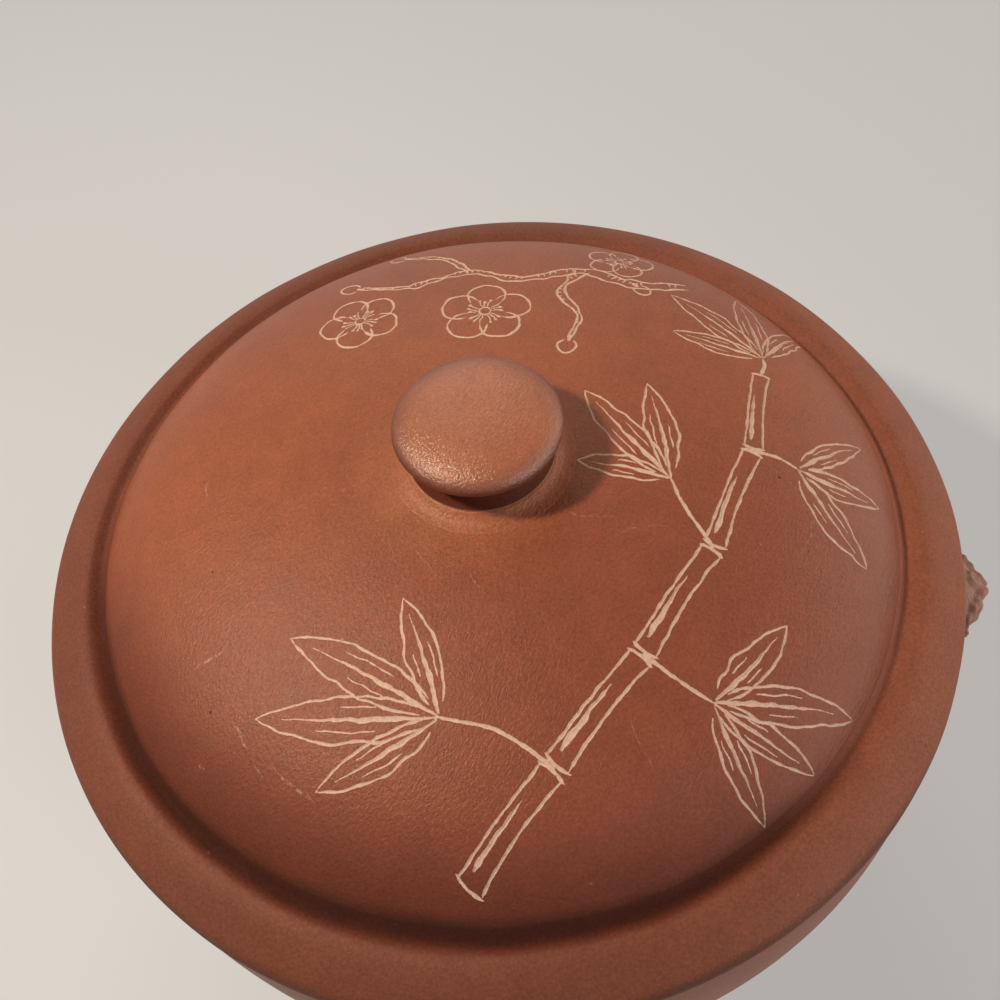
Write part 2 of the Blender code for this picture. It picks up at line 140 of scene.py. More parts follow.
# Fineness: steps round a piece, steps along an outline, and how far the potter's hand strays
ROUND = 480
SMALL_ROUND = 240
STEP = 0.6 * MM
UNEVEN = 0.07 * MM

# Drawing: steps along a stroke, where the rows of points beside a stroke's edge lie, the sheet's own
# steps, and the band at its rim that has finer rings
LINE_STEP = 0.45 * MM
EDGE = 0.12 * MM
CLEAR = 0.36 * MM
SHEET_STEP = 2.0 * MM
RIM_STEP = 0.45 * MM
RIM_BAND = 10.5 * MM
RIM_RINGS = 22


# Outlines

def pairs(first, second):
    """Two rows of numbers as points of a plane."""
    return np.stack(np.broadcast_arrays(first, second), axis=1)


def walked_along(line):
    """How far each of the line's points lies from its start, along it."""
    return np.concatenate([[0.0], np.cumsum(np.hypot(*np.diff(line, axis=0).T))])


def resampled(line, step):
    """The line walked from end to end in even steps."""
    line = np.asarray(line, float)
    walked = walked_along(line)
    at = np.linspace(0.0, walked[-1], max(2, int(round(walked[-1] / step)) + 1))
    return pairs(np.interp(at, walked, line[:, 0]), np.interp(at, walked, line[:, 1]))


def softened(line, step, softness):
    """The line in even steps, each point the bell-weighted mean of those round it. The ends stay put."""
    line = resampled(line, step)
    reach = min(int(3 * softness / step) + 1, len(line) - 1)
    weights = np.exp(-0.5 * (np.arange(-reach, reach + 1) * step / softness) ** 2)
    head = 2 * line[0] - line[reach:0:-1]
    tail = 2 * line[-1] - line[-2:-reach - 2:-1]
    padded = np.vstack([head, line, tail])
    return pairs(*(np.convolve(column, weights / weights.sum(), "valid") for column in padded.T))


def arc(centre, radii, start, end, count=9):
    """Points on an ellipse from the angle start to the angle end, in degrees."""
    angle = np.radians(np.linspace(start, end, count))
    return pairs(centre[0] + radii[0] * np.cos(angle), centre[1] + radii[1] * np.sin(angle))


def waves(points, seed, shortest, longest, count=14):
    """A gentle uneven field of unit size: the sum of sine waves that run in seeded directions."""
    chance = np.random.default_rng(seed)
    heading = chance.normal(size=(count, points.shape[1]))
    heading /= np.linalg.norm(heading, axis=1)[:, None]
    length = chance.uniform(shortest, longest, count)
    phase = chance.uniform(0, math.tau, count)
    sines = np.sin(points @ (heading / length[:, None]).T * math.tau + phase)
    return sines.sum(axis=1) / math.sqrt(count / 2)


def handmade(points):
    """The points with their radius and height shifted by gentle waves; the foot and the crown stay true."""
    radius = np.hypot(points[:, 0], points[:, 1])
    free = np.clip(points[:, 2] / (6 * MM), 0, 1) * np.clip((BUTTON_CROWN - points[:, 2]) / (4 * MM), 0, 1)
    size = UNEVEN * free * np.clip(radius / (12 * MM), 0, 1)
    outward = size * waves(points, 11, 25 * MM, 90 * MM)
    moved = points.copy()
    moved[:, :2] *= (1 + outward / np.maximum(radius, MM))[:, None]
    moved[:, 2] += size * waves(points, 12, 25 * MM, 90 * MM)
    return moved


# Meshes

def placed(name, data):
    """A new object of the scene that holds the data."""
    thing = bpy.data.objects.new(name, data)
    bpy.context.scene.collection.objects.link(thing)
    return thing


def new_piece(name, points, faces, material, fields=()):
    """A mesh from whole arrays: points (n, 3), faces as arrays of corners, and values for each point."""
    mesh = bpy.data.meshes.new(name)
    corners = np.concatenate([part.ravel() for part in faces]).astype(np.int32)
    sizes = np.concatenate([np.full(len(part), part.shape[1]) for part in faces])
    starts = np.concatenate([[0], np.cumsum(sizes)[:-1]]).astype(np.int32)
    mesh.vertices.add(len(points))
    mesh.vertices.foreach_set("co", points.astype(np.float32).ravel())
    mesh.loops.add(len(corners))
    mesh.loops.foreach_set("vertex_index", corners)
    mesh.polygons.add(len(sizes))
    mesh.polygons.foreach_set("loop_start", starts)
    mesh.polygons.foreach_set("use_smooth", np.ones(len(sizes), bool))
    mesh.update(calc_edges=True)
    mesh.validate()
    mesh.set_sharp_from_angle(angle=math.radians(60))
    for field, values in fields:
        mesh.attributes.new(field, "FLOAT", "POINT").data.foreach_set("value", values.astype(np.float32))
    mesh.materials.append(material)
    return placed(name, mesh)


def ring_faces(number, closed=False):
    """Four-cornered faces between neighbouring rows of a table of point numbers. Each row is a ring."""
    above = number if closed else number[:-1]
    below = np.roll(number, -1, axis=0) if closed else number[1:]
    corners = [above, below, np.roll(below, -1, axis=1), np.roll(above, -1, axis=1)]
    return np.stack(corners, axis=-1).reshape(-1, 4)


def fan(pole, ring, from_below=False):
    """Triangles from a pole to every step of a ring of point numbers."""
    steps = [np.roll(ring, -1), ring] if from_below else [ring, np.roll(ring, -1)]
    return np.stack([np.full(len(ring), pole), *steps], axis=1)


def skin_faces(rings, turns):
    """Faces of rings of points that are followed by the poles at their two ends."""
    number = np.arange(rings * turns).reshape(rings, turns)
    pole = rings * turns
    return [ring_faces(number), fan(pole, number[0]), fan(pole + 1, number[-1], True)]


def carried_round(outline, turns):
    """Point (i, j) is the outline's point i turned about the axis by the share j / turns."""
    angle = np.arange(turns) * (math.tau / turns)
    across = outline[:, :1]
    height = np.broadcast_to(outline[:, 1:], (len(outline), turns))
    return np.stack([across * np.cos(angle), across * np.sin(angle), height], axis=-1).reshape(-1, 3)


def turned(name, outline, material, closed=True, turns=ROUND, shape=None, fields=None):
    """A turned piece. Its outline (radius, height) runs down the outer side; an open one starts and
    ends on the axis, where its end points are single."""
    rim = outline if closed else outline[1:-1]
    points = carried_round(rim, turns)
    if closed:
        faces = [ring_faces(np.arange(len(points)).reshape(-1, turns), True)]
    else:
        faces = skin_faces(len(rim), turns)
        points = np.vstack([points, [[0, 0, outline[0, 1]], [0, 0, outline[-1, 1]]]])
    points = handmade(points)
    values = fields(points) if fields else ()
    if shape:
        points = shape(points)
    return new_piece(name, points, faces, material, values)


def dress(piece, body, node):
    """The piece rides on the body and stands for the node, whose part is hidden."""
    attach(piece, body)
    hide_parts(node)


# Shapes of the lid

def lid_line():
    """Crown to edge in one softened line: a cap whose foot steepens, the valley at its foot, the lip, a
    slope with a slight bulge and the rounded edge. Round the valley it is softened far more."""
    share = np.sin(np.linspace(0, 0.487 * math.pi, 160))
    rise = (1 - share ** 2) ** (1 / DOME_SHOULDER)
    dome = pairs(share * (CREASE_RADIUS - 0.3 * MM), CREASE + (DOME_CROWN - CREASE) * rise)
    groove = [(CREASE_RADIUS - 0.1 * MM, CREASE), (CREASE_RADIUS + 0.4 * MM, CREASE)]
    lip = np.array([BRIM_LIP_RADIUS, BRIM_LIP])
    shoulder = np.array([LID_RADIUS - 0.4 * BRIM_SHOULDER, LID_EDGE + BRIM_SHOULDER])
    share = np.linspace(0, 1, 24)[:, None]
    slope = lip + (shoulder - lip) * share + [0, 4 * BRIM_BULGE] * share * (1 - share)
    edge = [
        (LID_RADIUS - 0.3 * MM, LID_EDGE + 1.3 * MM), (LID_RADIUS, LID_EDGE - 0.4 * MM),
        (LID_RADIUS - 0.4 * MM, LID_EDGE - 2.0 * MM), (LID_RADIUS - 2.2 * MM, BRIM_BOTTOM),
        (CREASE_RADIUS, BRIM_BOTTOM),
    ]
    line = np.vstack([dome, groove, slope, edge])
    crisp, soft = softened(line, 0.3 * MM, 0.42 * MM), softened(line, 0.3 * MM, VALLEY_SOFTNESS)
    off = np.hypot(crisp[:, 0] - CREASE_RADIUS, crisp[:, 1] - CREASE)
    return crisp + (soft - crisp) * np.exp(-(off / VALLEY_REACH) ** 4)[:, None]


LID_LINE = lid_line()
JOINT = int(np.argmax(LID_LINE[:, 0] > CREASE_RADIUS - SLIP_WIDTH))
DOME_LINE = LID_LINE[:JOINT + 1]
DOME_WALKED = walked_along(DOME_LINE)
SHEET_RADIUS = DOME_WALKED[-1]


def laid_flat(points):
    """Points given in plan, with their distance from the axis stretched to what it is along the dome."""
    radius = np.maximum(np.hypot(points[:, 0], points[:, 1]), 1e-9)
    return points * (np.interp(radius, DOME_LINE[:, 0], DOME_WALKED) / radius)[:, None]


def raised(sheet, depth):
    """Points of the flat sheet on the dome, pressed in along its normal by their depth."""
    reach = np.maximum(np.hypot(sheet[:, 0], sheet[:, 1]), 1e-9)
    radius = np.interp(reach, DOME_WALKED, DOME_LINE[:, 0])
    height = np.interp(reach, DOME_WALKED, DOME_LINE[:, 1])
    slope = np.gradient(DOME_LINE, axis=0)
    slope /= np.linalg.norm(slope, axis=1)[:, None]
    outward = np.interp(reach, DOME_WALKED, -slope[:, 1])
    upward = np.interp(reach, DOME_WALKED, slope[:, 0])
    heading = sheet / reach[:, None]
    return np.column_stack([heading * (radius - outward * depth)[:, None], height - upward * depth])


# The drawing: strokes in plan, each a line, its half width at every point and its depth

def smooth_path(points, step=LINE_STEP):
    """A curve through the points: cubic pieces whose slope at a point is that of its neighbours."""
    points = np.asarray(points, float)
    ends = np.vstack([2 * points[0] - points[1], points, 2 * points[-1] - points[-2]])
    t = np.linspace(0, 1, 14, endpoint=False)[:, None]
    curve = []
    for a, b, c, d in zip(ends, ends[1:], ends[2:], ends[3:]):
        curve.append(b + 0.5 * t * (c - a + t * (2 * a - 5 * b + 4 * c - d + t * (3 * b - 3 * c + d - a))))
    return resampled(np.vstack(curve + [points[-1:]]), step)


def beside(line, offset):
    """The line shifted sideways by an offset at each of its points."""
    run = np.gradient(line, axis=0)
    run /= np.maximum(np.linalg.norm(run, axis=1), 1e-12)[:, None]
    return line + np.stack([-run[:, 1], run[:, 0]], axis=1) * np.broadcast_to(offset, len(line))[:, None]


def heading_of(run):
    return math.degrees(math.atan2(run[1], run[0]))


def turned_to(points, heading, start):
    """Points drawn along +X, turned to a heading in degrees and moved to start."""
    angle = math.radians(heading)
    turn = np.array([[math.cos(angle), math.sin(angle)], [-math.sin(angle), math.cos(angle)]])
    return np.asarray(points, float) @ turn + np.asarray(start, float)


class Drawing:
    """Collects the strokes of a freehand drawing. The hand trembles a little, from a seeded chance.
    A stroke's width, depth and shake are in millimetres."""

    def __init__(self, seed):
        self.chance = np.random.default_rng(seed)
        self.strokes = []

    def tremble(self, count, size, run=9):
        """Random numbers smoothed over a run of points."""
        weights = np.hanning(run + 2)[1:-1]
        noise = np.convolve(self.chance.normal(size=count + run - 1), weights, "valid")
        return noise * size / np.linalg.norm(weights)

    def stroke(self, points, width, depth=0.22, shake=0.12, taper=(0.15, 0.15), at=(0, (0, 0))):
        """One cut, drawn along +X and then turned to a heading and moved to its start. Its width is a
        number or one for each end, and over a share of its length at both ends it runs out."""
        points = turned_to(points, *at)
        line = smooth_path(points)
        count = len(line)
        if count < 4:
            line = resampled(points, LINE_STEP / 2)
            count = len(line)
        share = np.linspace(0, 1, count)
        line = beside(line, self.tremble(count, shake * MM) * np.clip(8 * share * (1 - share), 0, 1))
        first, last = np.broadcast_to(width, 2) * MM
        half = 0.5 * (first + (last - first) * share) * (1 + self.tremble(count, 0.16, 5))
        start = np.clip(share / max(taper[0], 1e-6), 0, 1)
        end = np.clip((1 - share) / max(taper[1], 1e-6), 0, 1)
        half = np.maximum(half * (0.35 + 0.65 * start * end), 0.09 * MM)
        self.strokes.append((line, half, depth * MM))

    def leaf(self, base, heading, length, width, bend):
        """A bamboo leaf: a short stalk, a bold rib that runs out, two edges set off from the rib's line
        by a spindle shape, and a fine vein on each side."""
        at = (heading, base)
        share = np.linspace(0, 1, 26)
        spine = pairs(length * share, bend * length * share ** 2)
        spindle = 0.5 * width * share ** 0.75 * (1 - share) ** 0.9 / 0.384
        for side in (1, -1):
            edge = beside(spine, side * spindle * (1 + 0.05 * self.tremble(len(share), 1.0, 5)))[2:]
            self.stroke(edge, (0.62, 0.5), taper=(0.08, 0.1), at=at)
            first = 7 + self.chance.integers(0, 3)
            vein = beside(spine, side * 0.55 * spindle)[first:first + 6 + self.chance.integers(0, 4)]
            self.stroke(vein, (0.36, 0.28), depth=0.14, at=at)
        bold = self.chance.uniform(1.15, 1.5)
        self.stroke(spine[:22], (bold, 0.3), depth=0.3, taper=(0.3, 0.3), at=at)

    def culm(self, joints, width):
        """A bamboo culm: between its joints two sides with a slight waist and a long bold stroke of
        light, and a ridge on each side of a joint."""
        widths = np.linspace(width[0], width[1], len(joints))
        across = np.linspace(-1, 1, 7)
        share = np.linspace(0.0, 1.0, 11)
        for start, end, wide, slim in zip(joints, joints[1:], widths, widths[1:]):
            length = np.linalg.norm(end - start)
            at = (heading_of(end - start), start)
            half = 0.5 * (wide + (slim - wide) * share) * (0.86 + 0.14 * (2 * share - 1) ** 4)
            middle = pairs(1.1 * MM + (length - 2.2 * MM) * share, 0.015 * length * np.sin(math.pi * share))
            for side in (1, -1):
                self.stroke(beside(middle, side * half), 0.6, shake=0.07, taper=(0.04, 0.04), at=at)
            self.stroke(beside(middle, 0.36 * half)[1:8], (1.5, 0.4), depth=0.28, shake=0.08, at=at)
            for place, bow, reach in ((0.55 * MM, 0.5 * MM, wide), (length - 0.55 * MM, -0.5 * MM, slim)):
                ridge_line = pairs(place + bow * across ** 2, 0.60 * reach * across)
                self.stroke(ridge_line, 0.75, shake=0.03, at=at)

    def blossom(self, centre, radius, turn, petals=5):
        """A plum blossom: petals as round arcs about a small ring, and stamens that end in dots."""
        petal = arc((0.60 * radius, 0), (0.42 * radius, 0.44 * radius), -128, 128, 13)
        for heading in turn + 360 * np.arange(petals) / petals:
            self.stroke(petal, (0.65, 0.55), taper=(0.05, 0.05), at=(heading, centre))
            for lean in (-15, 4, 21):
                at = (heading + lean, centre)
                reach = radius * self.chance.uniform(0.30, 0.42)
                line = [(0.16 * radius, 0), (0.5 * (reach + 0.16 * radius), 0.02 * radius), (reach, 0)]
                self.stroke(line, 0.35, depth=0.16, shake=0.02, at=at)
                self.stroke([(reach, 0), (reach + 0.5 * MM, 0)], 0.8, shake=0, taper=(0, 0), at=at)
        angle = np.radians(np.linspace(0, 350, 12))
        self.stroke(centre + pairs(np.cos(angle), np.sin(angle)) * 0.13 * radius, 0.5, shake=0.03)

    def bud(self, base, heading, radius):
        """A closed bud: a round outline on a thick cup."""
        at = (heading, base)
        ball = arc((1.25 * radius, 0), (radius, 0.86 * radius), 150, -150, 12)
        self.stroke(ball, 0.6, taper=(0.05, 0.05), at=at)
        self.stroke([(-0.3 * radius, 0), (0.5 * radius, 0)], (1.5, 0.9), shake=0, at=at)

    def twig(self, points, width):
        """A woody twig: two rough sides that close in, with short hatches of bark along one of them."""
        line = smooth_path(points, 1.6 * MM)
        half = 0.5 * np.linspace(width, 0.35 * width, len(line))
        knots = 1 + 0.28 * self.tremble(len(line), 1.0, 3)
        for side in (1, -1):
            self.stroke(beside(line, side * half * knots), (0.75, 0.55), shake=0.16, taper=(0.02, 0.02))
        for place in range(2, len(line) - 3):
            if self.chance.uniform() < 0.62:
                heading = heading_of(line[place + 1] - line[place]) + self.chance.uniform(62, 88)
                length = half[place] * self.chance.uniform(0.7, 1.25)
                hatch = [(-0.9 * half[place] + share * length, 0) for share in (0, 0.5, 1)]
                self.stroke(hatch, (0.6, 0.3), depth=0.16, shake=0.03, at=(heading, line[place]))


def incised_drawing():
    """A bamboo spray that climbs the near right side of the dome, and a flowering plum twig behind the
    knob. The tables are in millimetres and degrees."""
    drawing = Drawing(41)
    culm = ((3, -90), (19, -68), (36, -45), (51, -20), (61, 7), (65, 33))
    drawing.culm(np.array(culm) * MM, (5.6 * MM, 4.0 * MM))
    for stalk, leaves in (
        (((19, -68), (8, -62), (-4, -60)),
         ((152, 36, 0.05), (184, 38, -0.06), (216, 27, -0.10), (108, 25, 0.08))),
        (((36, -45), (44, -50), (50, -53)),
         ((-66, 22, 0.06), (-30, 22, 0.10), (8, 29, -0.06), (44, 23, 0.08))),
        (((51, -20), (45, -11), (42, -4)), ((96, 27, 0.08), (132, 30, -0.05), (166, 20, 0.10))),
        (((61, 7), (67, 6), (71, 4)), ((-62, 25, 0.10), (-18, 19, 0.10), (40, 20, -0.08))),
        (((65, 33), (66, 36), (66, 39)),
         ((60, 22, -0.08), (96, 27, 0.06), (134, 30, 0.05), (172, 22, -0.08))),
    ):
        stalk = np.array(stalk) * MM
        drawing.stroke(stalk, (0.9, 0.7), shake=0.05, taper=(0.02, 0.02))
        for heading, length, bend in leaves:
            turn = math.radians(heading)
            base = stalk[-1] + 0.9 * MM * np.array([math.cos(turn), math.sin(turn)])
            drawing.leaf(base, heading, length * MM, (2.6 + 0.21 * length) * MM, bend)
    for twig, width in (
        (((48, 66), (34, 63), (20, 68), (4, 63), (-10, 67), (-26, 61), (-40, 63)), 3.6),
        (((20, 68), (15, 57), (20, 47), (18, 38)), 2.4), (((-10, 67), (-18, 76), (-30, 80)), 2.0),
    ):
        drawing.twig(np.array(twig) * MM, width * MM)
    for centre, radius, turn in (((-4, 48), 11.5, 20), ((-37, 47), 10.5, 52), ((30, 76), 9.0, 5)):
        drawing.blossom(np.array(centre) * MM, radius * MM, turn)
    for base, heading, radius in (
        ((18, 38), -98, 2.6), ((-40, 63), 164, 2.8), ((-30, 80), 172, 2.4), ((34, 63), -52, 2.5),
    ):
        drawing.bud(np.array(base) * MM, heading, radius * MM)
    return drawing.strokes


def scuffs():
    """Pale rubbed marks and hairline scratches on the dome, hardly deep at all."""
    marks = Drawing(7)
    for line, width in (
        (((-52, -46), (-55, -47.5), (-59, -50)), 0.7), (((-67.2, -1.9), (-66, -6), (-63.9, -11.9)), 0.5),
        (((-48, -61), (-46, -63), (-44, -66)), 0.8), (((-42, -69), (-40, -71.5)), 0.7),
        (((-37.5, -70), (-34, -73), (-28, -76)), 0.9), (((-55, -68), (-53.5, -69.5)), 0.6),
        (((19.4, -14.6), (24, -15.4), (30.1, -15.0)), 0.3), (((17.1, -11.3), (19.4, -14.6)), 0.3),
        (((-0.6, -24.7), (-0.2, -29.5), (2.6, -35.0)), 0.25),
        (((33.6, -57.1), (35.5, -62), (38.5, -66.7)), 0.3),
        (((-13.3, -23.7), (-10, -27.5), (-6.4, -31.7)), 0.3), (((-19, -21), (-17, -27), (-13, -33)), 0.25),
        (((30, -20), (35, -17), (41, -16)), 0.3), (((-30, -8), (-33, -12)), 0.3),
        (((70, -18), (73, -12), (74, -8)), 0.4), (((-26, -44.5), (-26, -45.3)), 0.8),
    ):
        marks.stroke(np.array(line) * MM, width, depth=0.02, shake=0.2, taper=(0.3, 0.3))
    return marks.strokes


# Small pits in the dome: where they lie, and their radius
PITS = np.array([
    (-67.3, -3.3, 0.30), (-59.0, -28.0, 0.34), (-53.8, -58.7, 0.5), (-0.8, -19.5, 0.26), (66.5, 0.6, 0.5),
    (19.3, -43.5, 0.22), (-20.0, -66.0, 0.2), (41.0, 12.0, 0.22), (-33.0, 30.0, 0.24), (12.0, -78.0, 0.22),
]) * MM


def beside_rows(strokes):
    """Points for the sheet on both sides of each stroke: inside, on and just outside its edges."""
    rows = []
    for line, half, _ in strokes:
        for side in (1, -1):
            rows += [beside(line, side * offset) for offset in (0.45 * half, half, half + EDGE, half + CLEAR)]
    return np.vstack(rows)


def inside_strokes(points, strokes, outside):
    """For each point how far it lies inside the edge of a stroke, and that stroke's depth there. It works
    tile by tile, with each tile's points against the pieces of stroke that come near it."""
    start = np.vstack([line[:-1] for line, _, _ in strokes])
    run = np.vstack([np.diff(line, axis=0) for line, _, _ in strokes])
    half = np.concatenate([half[:-1] for _, half, _ in strokes])
    widen = np.concatenate([np.diff(half) for _, half, _ in strokes])
    depth = np.concatenate([np.full(len(half) - 1, depth) for _, half, depth in strokes])
    inside = np.full(len(points), -outside)
    deep = np.zeros(len(points))
    tile = 10 * MM
    keys = np.floor(points / tile).astype(int)
    for key in np.unique(keys, axis=0):
        mine = np.flatnonzero((keys == key).all(axis=1))
        middle = (key + 0.5) * tile
        near = np.flatnonzero((np.abs(start - middle) < 0.5 * tile + 4 * MM).all(axis=1))
        if not len(near):
            continue
        gap = points[mine, None] - start[near]
        share = np.clip((gap * run[near]).sum(axis=2) / np.maximum((run[near] ** 2).sum(axis=1), 1e-14), 0, 1)
        away = np.linalg.norm(gap - share[..., None] * run[near], axis=2)
        reach = half[near] + share * widen[near] - away
        best = reach.argmax(axis=1)
        rows = np.arange(len(mine))
        inside[mine] = np.maximum(reach[rows, best], -outside)
        deep[mine] = depth[near][best]
    return inside, deep


def eased(value):
    value = np.clip(value, 0, 1)
    return value * value * (3 - 2 * value)


def dome_sheet(cuts, marks, rim):
    """The flat sheet as points and triangles: rings all over it, finer ones near its rim, and rows of
    points beside the strokes and round the pits, where the rings make way for them."""
    rings = [np.zeros((1, 2))]
    for reach in np.arange(SHEET_STEP, SHEET_RADIUS - RIM_BAND, SHEET_STEP):
        turns = max(8, int(math.tau * reach / SHEET_STEP))
        around = (np.arange(turns) + 0.5 * (len(rings) % 2)) * (math.tau / turns)
        rings.append(reach * pairs(np.cos(around), np.sin(around)))
    rings += [rim * reach for reach in SHEET_RADIUS - np.arange(1, RIM_RINGS) * RIM_STEP]
    rings = np.vstack(rings)
    rings = rings[inside_strokes(rings, cuts + marks, 5 * MM)[0] < -0.7 * MM]
    pits = [PITS[:, :2]]
    for share in (0.5, 1.0, 1.6):
        pits += [PITS[:, :2] + share * PITS[:, 2:] * heading for heading in rim[::60]]
    detail = np.vstack([beside_rows(cuts), beside_rows(marks), laid_flat(np.vstack(pits))])
    detail = detail[np.hypot(*detail.T) < SHEET_RADIUS - 0.3 * MM]
    _, keep = np.unique(np.round(detail / (0.09 * MM)).astype(int), axis=0, return_index=True)
    sheet = np.vstack([rim * SHEET_RADIUS, rings, detail[np.sort(keep)]])
    flat, _, triangles, *_ = delaunay_2d_cdt([Vector(point) for point in sheet], [], [], 0, 1e-7)
    flat, triangles = np.array([tuple(point) for point in flat]), np.array(triangles)
    a, b, c = (flat[triangles[:, k]] for k in range(3))
    area = (b[:, 0] - a[:, 0]) * (c[:, 1] - a[:, 1]) - (b[:, 1] - a[:, 1]) * (c[:, 0] - a[:, 0])
    triangles[area < 0] = triangles[area < 0, ::-1]
    return flat, triangles


def rim_order(flat):
    """Numbers of the sheet's rim points, walked round from +X."""
    edge = np.flatnonzero(np.hypot(*flat.T) > SHEET_RADIUS - 0.05 * MM)
    if len(edge) != ROUND:
        raise ValueError("the dome's sheet lost its rim")
    edge = edge[np.argsort(np.arctan2(flat[edge, 1], flat[edge, 0]) % math.tau)]
    return np.roll(edge, -int(np.argmin(np.abs(np.arctan2(flat[edge, 1], flat[edge, 0])))))


def dome_underside():
    """Outline of the dome's underside, from its foot in to the crown, with a potter's faint ridges."""
    inner = SHELF_RADIUS + 0.3 * MM
    share = np.sin(np.linspace(math.pi / 2, 0, 60))
    cap = (DOME_CROWN - DOME_THICKNESS - DOME_SEAT) * (1 - share ** 2) ** (1 / DOME_SHOULDER)
    under = np.vstack([[(DOME_LINE[-1, 0], DOME_SEAT)], pairs(share * inner, DOME_SEAT + cap)])
    fading = np.clip((inner - under[:, 0]) / (8 * MM), 0, 1)
    under[:, 1] += 0.08 * MM * np.sin(math.tau * under[:, 0] / (5.5 * MM)) * fading
    return under


def make_dome(material):
    """The dome: the flat sheet raised on the lid's line and pressed in along the strokes and pits, and
    a turned underside. Three fields tell its clay how far a point lies inside a cut, scuff or pit."""
    cuts, marks = (
        [(laid_flat(line), half, depth) for line, half, depth in strokes]
        for strokes in (incised_drawing(), scuffs())
    )
    angle = np.arange(ROUND) * (math.tau / ROUND)
    flat, triangles = dome_sheet(cuts, marks, pairs(np.cos(angle), np.sin(angle)))
    cut, deep = inside_strokes(flat, cuts, 0.6 * MM)
    scuff, shallow = inside_strokes(flat, marks, 0.6 * MM)
    pit = np.max(1 - np.linalg.norm(flat[:, None] - laid_flat(PITS[:, :2]), axis=2) / PITS[:, 2], axis=1)
    depth = deep * eased(cut / (0.2 * MM)) + shallow * eased(scuff / (0.1 * MM)) + 0.2 * MM * eased(pit)
    under = dome_underside()
    rings = carried_round(under[:-1], ROUND)
    number = np.vstack([rim_order(flat), len(flat) + np.arange(len(rings)).reshape(-1, ROUND)])
    faces = [triangles, ring_faces(number), fan(len(flat) + len(rings), number[-1], True)]
    points = handmade(np.vstack([raised(flat, depth), rings, [[0, 0, under[-1, 1]]]]))
    plain = np.full(len(points) - len(flat), -0.6)
    fields = (("cut", cut / MM), ("scuff", scuff / MM), ("pit", pit))
    fields = [(name, np.concatenate([values, plain])) for name, values in fields]
    dress(new_piece("dome", points, faces, material, fields), "lid", "lid_dome")


def make_brim(material):
    """The brim: the lid's line from the joint round its edge, closed by the ledge under the dome. The
    slip that was smoothed into the joint, up the dome's foot, is part of it."""
    line = LID_LINE[JOINT:]
    line = line[(line[:, 0] > CREASE_RADIUS + 0.5 * MM) | (line[:, 1] > BRIM_BOTTOM + MM)]
    ledge = [(SHELF_RADIUS, BRIM_BOTTOM), (SHELF_RADIUS, DOME_SEAT), (line[0, 0], DOME_SEAT)]
    dress(turned("brim", np.vstack([line, ledge]), material), "lid", "lid_brim")


def make_flange(material):
    """The locating ring under the brim: a plain band with rounded lower edges."""
    outer, inner = FLANGE_RADIUS, FLANGE_RADIUS - FLANGE_THICKNESS
    line = [
        (outer + 1.2 * MM, BRIM_BOTTOM), (outer, BRIM_BOTTOM - 1.2 * MM), (outer, FLANGE_BOTTOM + 1.2 * MM),
        (outer - 1.4 * MM, FLANGE_BOTTOM), (inner + 1.4 * MM, FLANGE_BOTTOM),
        (inner, FLANGE_BOTTOM + 1.2 * MM), (inner, BRIM_BOTTOM),
    ]
    dress(turned("flange", softened(line, STEP, 0.5 * MM), material), "lid", "lid_flange")


def make_skirt(material):
    """The skirt under the knob: a hollow curve that falls from the stem's foot and runs out on the dome."""
    out = np.linspace(NECK_BASE_RADIUS - 2 * MM, PAD_RADIUS, 40)
    share = np.clip((out - NECK_BASE_RADIUS) / (PAD_RADIUS - NECK_BASE_RADIUS), 0, 1)
    dome = np.interp(out, DOME_LINE[:, 0], DOME_LINE[:, 1])
    skirt = dome + (PAD_TOP - dome) * (0.965 * (1 - share) ** 2.6 + 0.035 * np.clip((1 - share) / 0.14, 0, 1))
    top = np.vstack([[(0, PAD_TOP)], pairs(out, skirt), [(PAD_RADIUS + 0.15 * MM, dome[-1] - 0.1 * MM)]])
    low = [(PAD_RADIUS * 0.5, DOME_CROWN - 0.6 * MM), (0, DOME_CROWN - 0.4 * MM)]
    outline = np.vstack([softened(top, 0.4 * MM, 0.35 * MM), low])
    dress(turned("knob_skirt", outline, material, False, SMALL_ROUND), "lid", "knob_pad")


def make_stem(material):
    """The stem: a waist, a foot that flares in a power curve and a small crisp edge where it ends."""
    share = np.linspace(0, 1, 40)
    foot = (NECK_BASE_RADIUS - NECK_WAIST_RADIUS) * share ** 2.2
    head = (BUTTON_UNDERSIDE_RADIUS - NECK_WAIST_RADIUS) * (1 - share) ** 4
    side = pairs(NECK_WAIST_RADIUS + foot + head, NECK_TOP + (PAD_TOP + 0.35 * MM - NECK_TOP) * share)
    outline = np.vstack([[(0, NECK_TOP)], side, [(NECK_BASE_RADIUS, PAD_TOP), (0, PAD_TOP)]])
    dress(turned("knob_stem", outline, material, False, SMALL_ROUND), "lid", "knob_neck")


CHIP_HEADING = math.radians(75)
CHIP_OUTWARD = np.array([math.cos(CHIP_HEADING), math.sin(CHIP_HEADING)])
CHIP = 17.9 * MM * CHIP_OUTWARD


def chip_share(points):
    """How near each point lies to the chipped place on the far edge of the button."""
    gap = points - np.array([*CHIP, BUTTON_CROWN - 3.6 * MM])
    along = gap[:, 1] * CHIP_OUTWARD[0] - gap[:, 0] * CHIP_OUTWARD[1]
    rest = np.sqrt(np.maximum((gap ** 2).sum(axis=1) - along ** 2, 0))
    rough = 1 + 0.25 * waves(points, 5, 1.5 * MM, 4 * MM)
    return np.clip(rough - np.hypot(along / (2.6 * MM), rest / (1.2 * MM)), 0, 1)


